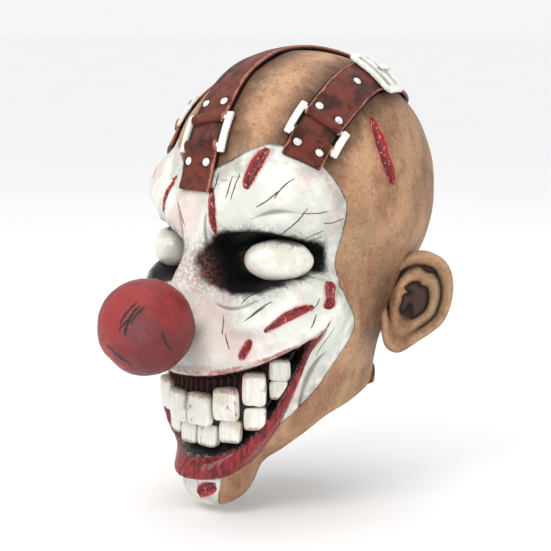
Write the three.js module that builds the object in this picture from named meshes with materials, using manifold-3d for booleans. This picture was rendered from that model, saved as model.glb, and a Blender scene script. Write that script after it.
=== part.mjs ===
// A latex clown mask that goes over the whole head: one hollow casting of skull, face, ears and
// neck, with a red ball nose, two blind white eyeballs, two rows of teeth, and three leather
// straps that run from the brow over the crown, joined by links, rivets and buckles.
//
// Millimetres, +Z up. The face looks along -Y, and the wearer's left is +X. The shapes below are
// worked out from the eye level, and the finished group is lowered so that its origin is the seat
// inside the crown, where the mask hangs on a head.

import * as THREE from "three";
import { mergeVertices } from "three/addons/utils/BufferGeometryUtils.js";
import Module from "manifold-3d";

const wasm = await Module();
wasm.setup();

// Driving sizes of the head
const headWidth = 176;
const headLength = 214;
const skullWidth = 184;
const skullLength = 232;
const skullSetBack = 12;
const eyeToCrown = 146;
const eyeToChin = 193;
const latexWall = 2.5;
const seatClearance = 0.3;

// Neck opening
const neckWidth = 120;
const neckLength = 118;
const neckSetBack = 4;
const neckRimBack = 88;
const neckRimFront = 150;

// Face furniture
const noseBallDiameter = 70;
const noseBallSink = 11;
const noseBallBelowEyes = 47;
const eyeballWidth = 50;
const eyeballHeight = 31;
const eyeballDepth = 34;
const sightHoleWidth = 14;
const sightHoleHeight = 11;
const earHeight = 82;
const earWidth = 56;
const earThickness = 9;

// Mouth, measured below the eyes
const mouthHalfAngle = THREE.MathUtils.degToRad(63);
const upperLipBelowEyes = 86;
const lowerLipBelowEyes = 152;
const mouthCornerBelowEyes = 56;
const biteLineBelowEyes = 126;
const mouthDepth = 13;
const lowerLipWidth = 17;
const upperLipWidth = 6;
const lowerLipRise = 9;
const upperLipRise = 2.5;
const teethPerRow = 8;
const toothPitch = THREE.MathUtils.degToRad(13);
const toothGap = 1.2;
const upperToothHeight = 25;
const lowerToothHeight = 17;
const toothThickness = 6.5;
const toothRoot = 2.5;
const toothBevel = 1.8;
const toothGumGap = 5;

// Straps and their metal
const strapWidth = 30;
const strapThickness = 3;
const strapLift = 1;
const backingThickness = 1.4;
const linkBar = 3.2;
const linkSideWidth = 5.4;
const linkThickness = 3.4;
const linkLift = 1.9;
const foldHeight = 7;
const foldLength = 7.5;
const foldCrest = 5.9;
const rivetDiameter = 4.8;
const rivetHeight = 1.7;
const rivetSpread = 8.5;
const buckleLength = 31;
const buckleWidth = 42;
const buckleBar = 5.5;
const buckleThickness = 3.5;
const prongWidth = 4;
const prongThickness = 2.4;

const halfWidth = headWidth / 2;
const halfLength = headLength / 2;
const skullHeight = halfLength;
const skullCentre = new THREE.Vector3(0, skullSetBack, eyeToCrown - skullHeight);

// Masses of the head, blended into each other. Places and radii are shares: x of half the head's
// width, y of half its length, z of the height from the eyes to the chin. rows of a "pair" stand on
// both sides, and "blend" is the width of the blend as a share of half the width.
const masses = [
  { name: "jaw hinge", x: 0, y: 0.05, z: -0.14, rx: 0.84, ry: 0.6, rz: 0.42, blend: 0.26 },
  { name: "face", x: 0, y: -0.355, z: -0.259, rx: 0.84, ry: 0.71, rz: 0.456, blend: 0.26 },
  { name: "muzzle", x: 0, y: -0.579, z: -0.518, rx: 0.705, ry: 0.598, rz: 0.311, blend: 0.2 },
  { name: "chin", x: 0, y: -0.79, z: -0.862, rx: 0.33, ry: 0.255, rz: 0.138, blend: 0.2 },
  { name: "cheek", x: 0.58, y: -0.62, z: -0.185, rx: 0.33, ry: 0.31, rz: 0.125, blend: 0.22, pair: true },
];

// Long raised forms, each a tapered rod between two points, in the same shares.
const rods = [
  { name: "brow", a: [0.22, -0.83, 0.135], b: [0.7, -0.6, 0.215], r: [0.21, 0.25], blend: 0.2, pair: true },
  { name: "jowl", a: [0.45, -0.73, -0.2], b: [0.73, -0.45, -0.2], r: [0.29, 0.25], blend: 0.22, pair: true },
  { name: "bridge", a: [0, -0.85, 0.05], b: [0, -1.09, -0.2], r: [0.15, 0.19], blend: 0.13, pair: false },
  { name: "wing", a: [0.2, -1.02, -0.31], b: [0.23, -1.0, -0.33], r: [0.14, 0.14], blend: 0.1, pair: true },
];

// Eye sockets, sunk into the blended masses: ovals in the same shares, and a depth of half the
// head's width.
const sockets = { x: 0.49, z: -0.012, rx: 0.42, rz: 0.125, depth: 0.25, floor: 0.45 };

const smoothMin = (a, b, k) => Math.min(a, b) - Math.max(k - Math.abs(a - b), 0) ** 2 / (4 * k);
const smoothMax = (a, b, k) => -smoothMin(-a, -b, k);
const smoothStep = (x, low, high) => THREE.MathUtils.smoothstep(x, low, high);
const lerp = THREE.MathUtils.lerp;

// A height profile that is 1 at the centre and falls smoothly to 0 at each side.
const bump = (x) => (Math.abs(x) < 1 ? (1 - x * x) ** 2 : 0);

// Distance from an ellipsoid, or in two dimensions from an ellipse: negative inside.
function ellipsoidDistance(p, centre, radii) {
  const q = centre.map((c, i) => (p[i] - c) / radii[i]);
  const near = Math.hypot(...q);
  const slope = Math.hypot(...q.map((v, i) => v / radii[i]));
  return slope < 1e-9 ? -Math.min(...radii) : (near * (near - 1)) / slope;
}

// Distance from a rod that runs from one point to another and whose radius changes on the way.
function rodDistance(p, from, to, radii) {
  const along = [0, 1, 2].map((i) => to[i] - from[i]);
  const reach = [0, 1, 2].map((i) => p[i] - from[i]);
  const dot = reach[0] * along[0] + reach[1] * along[1] + reach[2] * along[2];
  const t = THREE.MathUtils.clamp(dot / (along[0] ** 2 + along[1] ** 2 + along[2] ** 2), 0, 1);
  return Math.hypot(...[0, 1, 2].map((i) => reach[i] - t * along[i])) - lerp(radii[0], radii[1], t);
}

const scaled = (share) => [share[0] * halfWidth, share[1] * halfLength, share[2] * eyeToChin];

// How the neck melts into the skull, and how softly the two halves of a pair meet in the middle.
const neckBlend = 0.3 * halfWidth;
const neckFade = 0.1 * eyeToChin;
const middleBlend = 0.017 * halfWidth;

// Signed distance from the head without its mouth and ears: negative inside.
function headDistance(x, y, z) {
  const single = [x, y, z];
  const paired = [Math.hypot(x, middleBlend), y, z];
  const neck = ellipsoidDistance([x, y], [0, neckSetBack], [neckWidth / 2, neckLength / 2]);
  let d = ellipsoidDistance(single, skullCentre.toArray(), [skullWidth / 2, skullLength / 2, skullHeight]);
  d = smoothMin(d, smoothMax(neck, z, neckFade), neckBlend);
  for (const m of masses) {
    const [place, radii] = [scaled([m.x, m.y, m.z]), scaled([m.rx, m.ry, m.rz])];
    d = smoothMin(d, ellipsoidDistance(m.pair ? paired : single, place, radii), m.blend * halfWidth);
  }
  for (const r of rods) {
    const radii = r.r.map((share) => share * halfWidth);
    const rod = rodDistance(r.pair ? paired : single, scaled(r.a), scaled(r.b), radii);
    d = smoothMin(d, rod, r.blend * halfWidth);
  }
  return d;
}

// How far a socket sinks the skin: all the way inside its floor, and not at all outside its oval.
function socketRelief(p) {
  const across = (Math.abs(p.x) - sockets.x * halfWidth) / (sockets.rx * halfWidth);
  const up = (p.z - sockets.z * eyeToChin) / (sockets.rz * eyeToChin);
  const front = 1 - smoothStep(p.y, -0.45 * halfLength, -0.25 * halfLength);
  return -front * sockets.depth * halfWidth * (1 - smoothStep(Math.hypot(across, up), sockets.floor, 1));
}

// The mouth is drawn round the muzzle: an angle from the front, and a height below the eyes.
const mouthAxisY = -0.19 * halfLength;
const mouthAngle = (p) => Math.atan2(p.x, mouthAxisY - p.y);
const mouthShare = (angle) => Math.min(Math.abs(angle) / mouthHalfAngle, 1.6);
const upperLipLine = (angle) => -lerp(upperLipBelowEyes, mouthCornerBelowEyes, mouthShare(angle) ** 2);
const lowerLipLine = (angle) => -lerp(lowerLipBelowEyes, mouthCornerBelowEyes, mouthShare(angle) ** 2.4);
const biteLine = (angle) => -lerp(biteLineBelowEyes, mouthCornerBelowEyes, mouthShare(angle) ** 2.2);

// Distance outside the mouth's edge, and whether the nearer edge is the lower lip's.
function mouthEdge(angle, z) {
  const share = mouthShare(angle);
  const above = (z - upperLipLine(angle)) * (1 - 0.22 * share);
  const below = (lowerLipLine(angle) - z) * (1 - 0.42 * share);
  return { distance: smoothMax(above, below, 3), lower: smoothStep(below - above, -6, 6) };
}

// How far the skin stands out from the blended masses: the sockets, the mouth's hollow, the lips,
// the crease under the lower lip and the fold from the nose round the mouth.
function relief(p) {
  const angle = mouthAngle(p);
  const share = mouthShare(angle);
  const { distance, lower } = mouthEdge(angle, p.z);
  const front = 1 - smoothStep(Math.abs(angle), 1.35, 1.7);
  const lipWidth = lerp(upperLipWidth, lerp(lowerLipWidth, 6, share), lower);
  const lipRise = lerp(upperLipRise, lerp(lowerLipRise, 2.5, share), lower);
  const hollow = -mouthDepth * smoothStep(-distance, -1, 6);
  const lip = lipRise * bump((distance / lipWidth - 0.42) / 0.62);
  const crease = -3 * lower * (1 - smoothStep(share, 0.3, 0.8)) * bump((distance - lipWidth - 5) / 6);
  const foldAway = lerp(26, 13, share);
  const fold = -5 * (1 - lower) * smoothStep(share, 0.12, 0.4) * bump((distance - foldAway) / 8);
  return socketRelief(p) + front * (hollow + lip + crease + fold);
}

// The farthest point of the head along a ray from inside it, found by walking in from outside.
const castReach = 1.25 * eyeToChin;
function castOut(origin, direction) {
  const p = new THREE.Vector3();
  let t = castReach;
  for (let step = 0; step < 80; step++) {
    p.copy(origin).addScaledVector(direction, t);
    const d = headDistance(p.x, p.y, p.z);
    t -= 0.75 * d;
    if (Math.abs(d) < 1e-4) break;
  }
  return origin.clone().addScaledVector(direction, t);
}

// Rays that lay out the skin. A column is an angle round the head, closer together at the face. The
// rows fan over the crown, run level down the face, follow the lips, and fan under the chin to the
// rim of the neck.
const columns = 40;
const crownRows = 8;
const faceRows = 12;
const chinRows = 5;
const columnSqueeze = 0.5;
const rowPitch = 2.2;
const fanHeight = -0.57 * eyeToChin;
const columnAngle = (j) => {
  const even = (2 * Math.PI * j) / columns;
  return even - columnSqueeze * Math.sin(even);
};

function axisShift(z) {
  const down = THREE.MathUtils.clamp((skullCentre.z - z) / (skullCentre.z - fanHeight), 0, 1);
  return -halfLength * lerp(0.05, 0.37, down);
}

// Rows that follow the mouth: so far above the upper lip's line or below the lower lip's line, and
// the height that the row takes at the back of the head.
const mouthRows = [
  { name: "cheek", line: "upper", above: 24, back: -58 },
  { name: "under the fold", line: "upper", above: 13, back: -64 },
  { name: "upper lip's rim", line: "upper", above: 6, back: -70 },
  { name: "upper lip", line: "upper", above: 1.5, back: -75 },
  { name: "top of the floor", line: "upper", above: -5, back: -80 },
  { name: "middle of the floor", line: "bite", above: 0, back: -86 },
  { name: "foot of the floor", line: "lower", above: 5, back: -91 },
  { name: "lower lip's edge", line: "lower", above: -0.5, back: -95 },
  { name: "top of the lower lip", line: "lower", above: -5, back: -99 },
  { name: "foot of the lower lip", line: "lower", above: -11, back: -103 },
  { name: "lower lip's rim", line: "lower", above: -17, back: -107 },
  { name: "crease", line: "lower", above: -23, back: -110 },
];

function mouthRowHeights(angle) {
  const share = mouthShare(angle);
  const lines = { upper: upperLipLine(angle), bite: biteLine(angle), lower: lowerLipLine(angle) };
  const backward = smoothStep(share, 0.95, 1.55);
  let last = Infinity;
  return mouthRows.map((row) => {
    const reach = row.above < -5 ? lerp(1, 0.4, Math.min(share, 1)) : 1;
    const height = lerp(lines[row.line] + row.above * reach, row.back, backward);
    last = Math.min(height, last - rowPitch);
    return last;
  });
}

// The neck's rim, seen from the foot of the axis in one column: how far out, and how low.
function rimPoint(angle) {
  const foot = axisShift(fanHeight);
  const [dx, dy] = [Math.sin(angle), -Math.cos(angle)];
  const [rx, ry] = [neckWidth / 2, neckLength / 2];
  const a = (dx / rx) ** 2 + (dy / ry) ** 2;
  const b = (2 * dy * (foot - neckSetBack)) / ry ** 2;
  const c = ((foot - neckSetBack) / ry) ** 2 - 1;
  const out = (-b + Math.sqrt(b * b - 4 * a * c)) / (2 * a);
  const forward = Math.sqrt((1 + Math.cos(angle)) / 2);
  return { out, z: -lerp(neckRimBack, neckRimFront, forward) };
}

// Where a ray that leaves the axis at a height, turned up or down by a lift, meets the masses.
function headHit(angle, height, lift) {
  const origin = new THREE.Vector3(0, axisShift(height), height);
  const direction = new THREE.Vector3(Math.sin(angle), -Math.cos(angle), 0);
  direction.multiplyScalar(Math.cos(lift)).setZ(Math.sin(lift));
  return { point: castOut(origin, direction), direction };
}

// The skin's point on that ray, with the relief raised or sunk along it.
function skinPoint(angle, height, lift) {
  const { point, direction } = headHit(angle, height, lift);
  return point.clone().addScaledVector(direction, relief(point));
}

// The lift of the ray from the foot of the axis that meets the head at a height below it.
function liftTo(angle, height) {
  let lift = 0;
  for (let pass = 0; pass < 6; pass++) {
    const { point } = headHit(angle, fanHeight, lift);
    const out = Math.hypot(point.x, point.y - axisShift(fanHeight));
    lift = -Math.atan2(fanHeight - height, out);
  }
  return lift;
}

// One column of the skin, from the crown to the neck's rim.
function skinColumn(angle) {
  const points = [];
  for (let i = 1; i <= crownRows; i++) {
    points.push(skinPoint(angle, skullCentre.z, (Math.PI / 2) * (1 - i / crownRows) ** 1.1));
  }
  const heights = mouthRowHeights(angle).map((height, n) => {
    const { point } = headHit(angle, Math.max(height, fanHeight), 0);
    return mouthRowHeights(mouthAngle(point))[n];
  });
  for (let i = 1; i < faceRows; i++) {
    points.push(skinPoint(angle, lerp(skullCentre.z, heights[0], i / faceRows), 0));
  }
  let lift = 0;
  for (const height of heights) {
    if (height < fanHeight) lift = liftTo(angle, height);
    points.push(skinPoint(angle, Math.max(height, fanHeight), lift));
  }
  const rim = rimPoint(angle);
  const rimLift = -Math.atan2(fanHeight - rim.z, rim.out);
  for (let i = 1; i <= chinRows; i++) {
    points.push(skinPoint(angle, fanHeight, lerp(lift, rimLift, i / chinRows)));
  }
  return points;
}

// A grid of points over the head, one list for each row from the crown to the neck's rim.
function skinGrid() {
  const around = Array.from({ length: columns }, (_, j) => skinColumn(columnAngle(j)));
  return around[0].map((_, i) => around.map((column) => column[i]));
}

const crownTop = new THREE.Vector3(0, axisShift(skullCentre.z), 0);
crownTop.copy(castOut(crownTop.setZ(skullCentre.z), new THREE.Vector3(0, 0, 1)));

// A closed body through rings of points, each ring joined to the next. A ring of one point is a
// pole, and a full ring at either end is closed by a fan. Seen from outside, rings run downwards
// and the points of each run to the right.
function loft(rings) {
  const index = [];
  const starts = rings.map((_, i) => rings.slice(0, i).reduce((sum, ring) => sum + ring.length, 0));
  for (let i = 0; i + 1 < rings.length; i++) {
    const [upper, lower] = [rings[i].length, rings[i + 1].length];
    for (let k = 0; k < Math.max(upper, lower); k++) {
      const [a, b] = [starts[i] + (k % upper), starts[i] + ((k + 1) % upper)];
      const [c, d] = [starts[i + 1] + (k % lower), starts[i + 1] + ((k + 1) % lower)];
      if (lower > 1) index.push(a, c, d);
      if (upper > 1) index.push(a, d, b);
    }
  }
  const foot = starts[starts.length - 1];
  for (let k = 1; k + 1 < rings[0].length; k++) index.push(0, k, k + 1);
  for (let k = 1; k + 1 < rings.at(-1).length; k++) index.push(foot, foot + k + 1, foot + k);
  const geometry = new THREE.BufferGeometry();
  const flat = rings.flat().flatMap((p) => p.toArray());
  geometry.setAttribute("position", new THREE.Float32BufferAttribute(flat, 3));
  geometry.setIndex(index);
  return geometry;
}

function closedBody(pole, rows) {
  const last = rows[rows.length - 1];
  const cap = last.reduce((sum, p) => sum.add(p), new THREE.Vector3()).divideScalar(last.length);
  return loft([[pole], ...rows, [cap]]);
}

// The same grid moved along its own normals, inwards or outwards.
function offsetGrid(pole, rows, distance) {
  const geometry = closedBody(pole, rows);
  geometry.computeVertexNormals();
  const normal = geometry.getAttribute("normal");
  const normalAt = (n) => new THREE.Vector3().fromBufferAttribute(normal, n);
  const rim = rows.length - 1;
  const moved = rows.map((row, i) =>
    row.map((p, j) => {
      const n = normalAt(1 + i * columns + j);
      if (i === rim) n.copy(normalAt(1 + (i - 1) * columns + j)).setZ(0).normalize();
      return p.clone().addScaledVector(n, distance);
    }),
  );
  return { pole: pole.clone().addScaledVector(normalAt(0), distance), rows: moved };
}

// Conversions between three.js geometry and the solids that are cut and joined.
function toSolid(geometry) {
  const bare = geometry.clone();
  bare.deleteAttribute("normal");
  bare.deleteAttribute("uv");
  const merged = mergeVertices(bare, 1e-4);
  return new wasm.Manifold(
    new wasm.Mesh({
      numProp: 3,
      vertProperties: new Float32Array(merged.attributes.position.array),
      triVerts: new Uint32Array(merged.index.array),
    }),
  );
}

const sliver = 0.03;
function toGeometry(solid) {
  const { vertProperties, triVerts } = solid.simplify(sliver).getMesh();
  const geometry = new THREE.BufferGeometry();
  geometry.setAttribute("position", new THREE.BufferAttribute(new Float32Array(vertProperties), 3));
  geometry.setIndex(new THREE.BufferAttribute(new Uint32Array(triVerts), 1));
  return geometry;
}

const skinRows = skinGrid();
const outerSkin = toSolid(closedBody(crownTop, skinRows));

// A body that fills the mask and stands proud of it by the clearance: cutting a piece with it
// leaves the piece seated on the skin.
const proud = offsetGrid(crownTop, skinRows, seatClearance);
const seatCutter = toSolid(closedBody(proud.pole, proud.rows));
const seated = (geometry) => toGeometry(toSolid(geometry).subtract(seatCutter));

// The head's hollow, carried on below the rim so that it opens the neck.
function hollowSkin() {
  const inner = offsetGrid(crownTop, skinRows, -latexWall);
  const rim = inner.rows[inner.rows.length - 1];
  const below = rim.map((p) => p.clone().setZ(-neckRimFront - 40));
  return toSolid(closedBody(inner.pole, [...inner.rows, below]));
}

// An ear is a dished plate. Its outline is given by a radius for each angle, and its relief by
// rings: the folded rim, the groove inside it, the inner ridge and the deep bowl.
const earRings = [
  { ring: "rim edge", share: 1, height: 0 },
  { ring: "folded rim", share: 0.88, height: 0.42 },
  { ring: "groove", share: 0.68, height: -0.14 },
  { ring: "inner ridge", share: 0.52, height: 0.24 },
  { ring: "bowl", share: 0.3, height: -0.42 },
];
const earSides = 16;
const earRoot = { x: 0.78, y: 0.25, z: -0.233 };
const earTurn = THREE.MathUtils.degToRad(48);
const earLean = THREE.MathUtils.degToRad(10);
const earTilt = THREE.MathUtils.degToRad(17);

function earOutline(angle) {
  const up = Math.sin(angle);
  const out = Math.cos(angle);
  const round = Math.sign(out) * Math.abs(out) ** 0.8;
  const lobe = 1 - 0.42 * smoothStep(-up, 0, 1);
  return [earWidth * 0.5 * round * lobe, earHeight * 0.5 * up];
}

function earRing(share, height, sides) {
  return Array.from({ length: sides }, (_, k) => {
    const [out, up] = earOutline((2 * Math.PI * k) / sides);
    return new THREE.Vector3(out * share, up * share, height * earThickness);
  });
}

function earGeometry() {
  const front = [...earRings].reverse().map((ring) => earRing(ring.share, ring.height, earSides));
  const bowl = new THREE.Vector3(0, 0, -0.45 * earThickness);
  const heel = new THREE.Vector3(0, 0, -1.25 * earThickness);
  return loft([[bowl], ...front, earRing(0.72, -1, earSides), [heel]]);
}

// Stands an ear on the side of the head: out and back, upright, with its bowl facing forward.
function placedEar(side) {
  const out = new THREE.Vector3(Math.cos(earTurn), Math.sin(earTurn), 0);
  const up = new THREE.Vector3(0, Math.sin(earLean), Math.cos(earLean));
  out.addScaledVector(up, -out.dot(up)).normalize();
  const facing = new THREE.Vector3().crossVectors(out, up);
  const place = new THREE.Matrix4().makeBasis(out, up, facing);
  place.multiply(new THREE.Matrix4().makeRotationZ(-earTilt));
  const root = scaled([earRoot.x, earRoot.y, earRoot.z]);
  place.setPosition(root[0] + 0.42 * earWidth * out.x, root[1] + 0.42 * earWidth * out.y, root[2]);
  const geometry = earGeometry().applyMatrix4(place);
  if (side > 0) return geometry;
  geometry.applyMatrix4(new THREE.Matrix4().makeScale(-1, 1, 1));
  const index = geometry.index.array;
  for (let i = 0; i < index.length; i += 3) {
    [index[i + 1], index[i + 2]] = [index[i + 2], index[i + 1]];
  }
  return geometry;
}

// A sight hole at the inner corner of a socket, cut straight through along Y.
const sightHole = { x: 0.29, z: -0.018 };
function sightHoleCutter(side) {
  const geometry = new THREE.CylinderGeometry(0.5, 0.5, halfLength, 16);
  geometry.scale(sightHoleWidth, 1, sightHoleHeight);
  return geometry.translate(side * sightHole.x * halfWidth, -halfLength, sightHole.z * eyeToChin);
}

function maskSkin() {
  let solid = outerSkin.add(toSolid(placedEar(1))).add(toSolid(placedEar(-1)));
  solid = solid.subtract(hollowSkin());
  for (const side of [1, -1]) solid = solid.subtract(toSolid(sightHoleCutter(side)));
  return toGeometry(largest(solid.simplify(sliver)));
}

function noseBall() {
  const radius = noseBallDiameter / 2;
  const bridge = castOut(new THREE.Vector3(0, 0, -noseBallBelowEyes), new THREE.Vector3(0, -1, 0));
  const geometry = new THREE.SphereGeometry(radius, 18, 10);
  return seated(geometry.translate(0, bridge.y + noseBallSink - radius, bridge.z));
}

const eyeball = { x: 0.62, y: -0.7, z: -0.012 };
function eyeballGeometry(side) {
  const geometry = new THREE.SphereGeometry(0.5, 12, 7);
  geometry.scale(eyeballWidth, eyeballDepth, eyeballHeight);
  geometry.rotateZ(side * THREE.MathUtils.degToRad(38));
  const [x, y, z] = scaled([eyeball.x, eyeball.y, eyeball.z]);
  return seated(geometry.translate(side * x, y, z));
}

// A tooth is a block with its corners and front edges bevelled. It starts behind the floor of the
// mouth, so that the skin trims its back.
function toothGeometry(angle, centreZ, height) {
  const out = new THREE.Vector3(Math.sin(angle), -Math.cos(angle), 0);
  const across = new THREE.Vector3(Math.cos(angle), Math.sin(angle), 0);
  const axis = new THREE.Vector3(0, mouthAxisY, centreZ);
  const root = castOut(axis, out).addScaledVector(out, -mouthDepth - toothRoot);
  const width = 2 * root.distanceTo(axis) * Math.tan(toothPitch / 2) - toothGap;
  const ring = (rise, inset) => {
    const [w, h] = [width / 2 - inset, height / 2 - inset];
    const corner = 0.35 * w;
    const corners = [[w, h - corner], [w - corner, h], [corner - w, h], [-w, h - corner]];
    const outline = [...corners, ...corners.map(([u, v]) => [-u, -v])];
    return outline.map(([u, v]) => {
      return root.clone().addScaledVector(across, u).addScaledVector(out, rise).setZ(root.z + v);
    });
  };
  const top = toothRoot + toothThickness;
  return seated(loft([ring(top, toothBevel), ring(top - toothBevel, 0), ring(0, 0)]));
}

function teeth() {
  const made = [];
  for (let n = 0; n < teethPerRow; n++) {
    const step = n - (teethPerRow - 1) / 2;
    const angle = step * toothPitch;
    const bite = biteLine(angle);
    const upperHeight = Math.min(upperToothHeight, upperLipLine(angle) - bite - toothGumGap);
    const lowerHeight = Math.min(lowerToothHeight, bite - lowerLipLine(angle) - 0.5 * toothGumGap);
    const upperZ = bite + (toothGap + upperHeight) / 2;
    const lowerZ = bite - (toothGap + lowerHeight) / 2;
    made.push([`tooth_upper_${n + 1}`, toothGeometry(angle, upperZ, upperHeight)]);
    made.push([`tooth_lower_${n + 1}`, toothGeometry(angle, lowerZ, lowerHeight)]);
  }
  return made;
}

// A strap's route over the skull, as directions from the skull's centre: degrees round from the
// front towards one side, and degrees up.
const centreRoute = [[0, 3.5], [0, 17], [-3, 38], [-12, 60], [-70, 81], [180, 60], [180, 30], [180, 4]];
const sideRoute = [[40.6, 16], [48, 29.8], [64, 45.5], [90, 56.5], [122, 57], [152, 47], [176, 33]];

// The straps, with lengths along each in millimetres: the place of its link, the window between the
// two folds and the link's reach on each side of its middle, its pairs of rivets, and its buckle.
const straps = [
  { name: "centre", side: 1, linkAt: 43.5, window: 13.5, reach: 15.2, pairsAt: [21, 68], buckleAt: 0 },
  { name: "left", side: 1, linkAt: 28.5, window: 10.5, reach: 12.8, pairsAt: [13, 45], buckleAt: 124 },
  { name: "right", side: -1, linkAt: 28.5, window: 10.5, reach: 12.8, pairsAt: [13, 45], buckleAt: 124 },
];
const buckleRivetAhead = 34;
const backRivetsAhead = 9;

function routeDirection([round, up]) {
  const [a, e] = [THREE.MathUtils.degToRad(round), THREE.MathUtils.degToRad(up)];
  return new THREE.Vector3(Math.sin(a) * Math.cos(e), -Math.cos(a) * Math.cos(e), Math.sin(e));
}

// Lays a route on the skull and measures it, so that a place on a strap is a length along it.
function layRoute(strap) {
  const route = strap.buckleAt ? sideRoute : centreRoute;
  const directions = route.map(routeDirection).map((d) => d.setX(d.x * strap.side));
  const curve = new THREE.CatmullRomCurve3(directions);
  const points = curve.getPoints(160).map((d) => castOut(skullCentre, d.normalize()));
  const lengths = [0];
  for (let i = 1; i < points.length; i++) {
    lengths.push(lengths[i - 1] + points[i].distanceTo(points[i - 1]));
  }
  return { points, lengths, total: lengths[lengths.length - 1] };
}

function normalAt(p) {
  const step = 0.5;
  return new THREE.Vector3(
    headDistance(p.x + step, p.y, p.z) - headDistance(p.x - step, p.y, p.z),
    headDistance(p.x, p.y + step, p.z) - headDistance(p.x, p.y - step, p.z),
    headDistance(p.x, p.y, p.z + step) - headDistance(p.x, p.y, p.z - step),
  ).normalize();
}

// The frame on a laid route at a length along it: its place, the way on, the way across and out.
function routeFrame(laid, length) {
  let i = laid.lengths.findIndex((l) => l > length);
  if (i < 1) i = length <= 0 ? 1 : laid.points.length - 1;
  const t = (length - laid.lengths[i - 1]) / (laid.lengths[i] - laid.lengths[i - 1]);
  const place = laid.points[i - 1].clone().lerp(laid.points[i], t);
  const out = normalAt(place);
  const before = laid.points[Math.max(i - 4, 0)];
  const onward = laid.points[Math.min(i + 3, laid.points.length - 1)].clone().sub(before);
  const on = onward.addScaledVector(out, -onward.dot(out)).normalize();
  return { place, on, out, across: new THREE.Vector3().crossVectors(out, on) };
}

// A point at a length along a route, a distance across it and a height above the skull.
function onSkull(laid, length, across, height) {
  const frame = routeFrame(laid, length);
  const aim = frame.place.clone().addScaledVector(frame.across, across).sub(skullCentre).normalize();
  const foot = castOut(skullCentre, aim);
  return foot.addScaledVector(normalAt(foot), height);
}

// A band that lies along a route: for each station its length along the route, its half width, and
// the heights of its underside and top.
function band(laid, stations, across = [-1, 0, 1]) {
  const backward = [...across].reverse();
  return loft(stations.map(({ length, half, bottom, top }) => [
    ...across.map((side) => onSkull(laid, length, side * half, top)),
    ...backward.map((side) => onSkull(laid, length, side * half, bottom)),
  ]));
}

// A plate that lies on a route, with cells left out of it. "lengths" and "across" are the lines
// between its cells, measured from its centre, and "filled" tells which cells are there.
function plate(laid, centre, lengths, across, bottom, top, filled) {
  const [rows, cells] = [lengths.length - 1, across.length - 1];
  const there = (i, k) => i >= 0 && k >= 0 && i < rows && k < cells && filled(i, k);
  const points = [bottom, top].flatMap((height) =>
    lengths.flatMap((length) => across.map((side) => onSkull(laid, centre + length, side, height))),
  );
  const layer = lengths.length * across.length;
  const at = (i, k, level) => level * layer + i * across.length + k;
  const index = [];
  const quad = (a, b, c, d) => index.push(a, b, c, a, c, d);
  for (let i = 0; i < rows; i++) {
    for (let k = 0; k < cells; k++) {
      if (!there(i, k)) continue;
      quad(at(i, k, 1), at(i + 1, k, 1), at(i + 1, k + 1, 1), at(i, k + 1, 1));
      quad(at(i, k, 0), at(i, k + 1, 0), at(i + 1, k + 1, 0), at(i + 1, k, 0));
      if (!there(i - 1, k)) quad(at(i, k, 0), at(i, k, 1), at(i, k + 1, 1), at(i, k + 1, 0));
      if (!there(i + 1, k)) {
        quad(at(i + 1, k + 1, 0), at(i + 1, k + 1, 1), at(i + 1, k, 1), at(i + 1, k, 0));
      }
      if (!there(i, k - 1)) quad(at(i + 1, k, 0), at(i + 1, k, 1), at(i, k, 1), at(i, k, 0));
      if (!there(i, k + 1)) {
        quad(at(i, k + 1, 0), at(i, k + 1, 1), at(i + 1, k + 1, 1), at(i + 1, k + 1, 0));
      }
    }
  }
  const geometry = new THREE.BufferGeometry();
  const flat = points.flatMap((p) => p.toArray());
  geometry.setAttribute("position", new THREE.Float32BufferAttribute(flat, 3));
  geometry.setIndex(index);
  return mergeVertices(toGeometry(toSolid(geometry)), 1e-4);
}

const strapTop = strapLift + strapThickness;

// Stations of a strap length from one end to the other, with a fold of leather at a link's side.
function strapStations(from, to, foldAt, pitch = 13) {
  const count = Math.max(Math.round((to - from) / pitch), 2);
  const places = Array.from({ length: count + 1 }, (_, i) => from + ((to - from) * i) / count);
  const away = Math.sign((from + to) / 2 - foldAt);
  places.push(foldAt + away * foldCrest, foldAt + away * foldLength);
  const sorted = places.sort((a, b) => a - b).filter((p, i, all) => i === 0 || p - all[i - 1] > 1.5);
  return sorted.map((length) => {
    const near = Math.abs(length - foldAt);
    const swell = near < 0.1 ? 0.75 : 1 - smoothStep(near, foldCrest, foldLength);
    return { length, half: strapWidth / 2, bottom: strapLift, top: lerp(strapTop, foldHeight, swell) };
  });
}

// A link is two side bars joined by two cross bars, and each cross bar runs through a fold.
const barPlace = (strap) => (strap.window + foldLength) / 2;
const linkInner = strapWidth / 2 + seatClearance + 0.5;

function link(laid, strap) {
  const place = barPlace(strap);
  const bars = [-1, 1].flatMap((end) => [-1, 1].map((edge) => end * place + (edge * linkBar) / 2));
  const lengths = [-strap.reach, ...bars, strap.reach];
  const outer = linkInner + linkSideWidth;
  const across = [-outer, -linkInner, -linkInner / 3, linkInner / 3, linkInner, outer];
  const filled = (i, k) => i === 1 || i === 3 || k === 0 || k === 4;
  return plate(laid, strap.linkAt, lengths, across, linkLift, linkLift + linkThickness, filled);
}

// The passage of one cross bar through its fold, a clearance wider all round.
function linkTunnel(laid, at) {
  const half = linkBar / 2 + seatClearance;
  const stations = [-half, half].map((step) => ({
    length: at + step,
    half: linkInner + 1,
    bottom: linkLift - seatClearance,
    top: linkLift + linkThickness + seatClearance,
  }));
  return toSolid(band(laid, stations, [-1, -1 / 3, 1 / 3, 1]));
}

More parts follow.
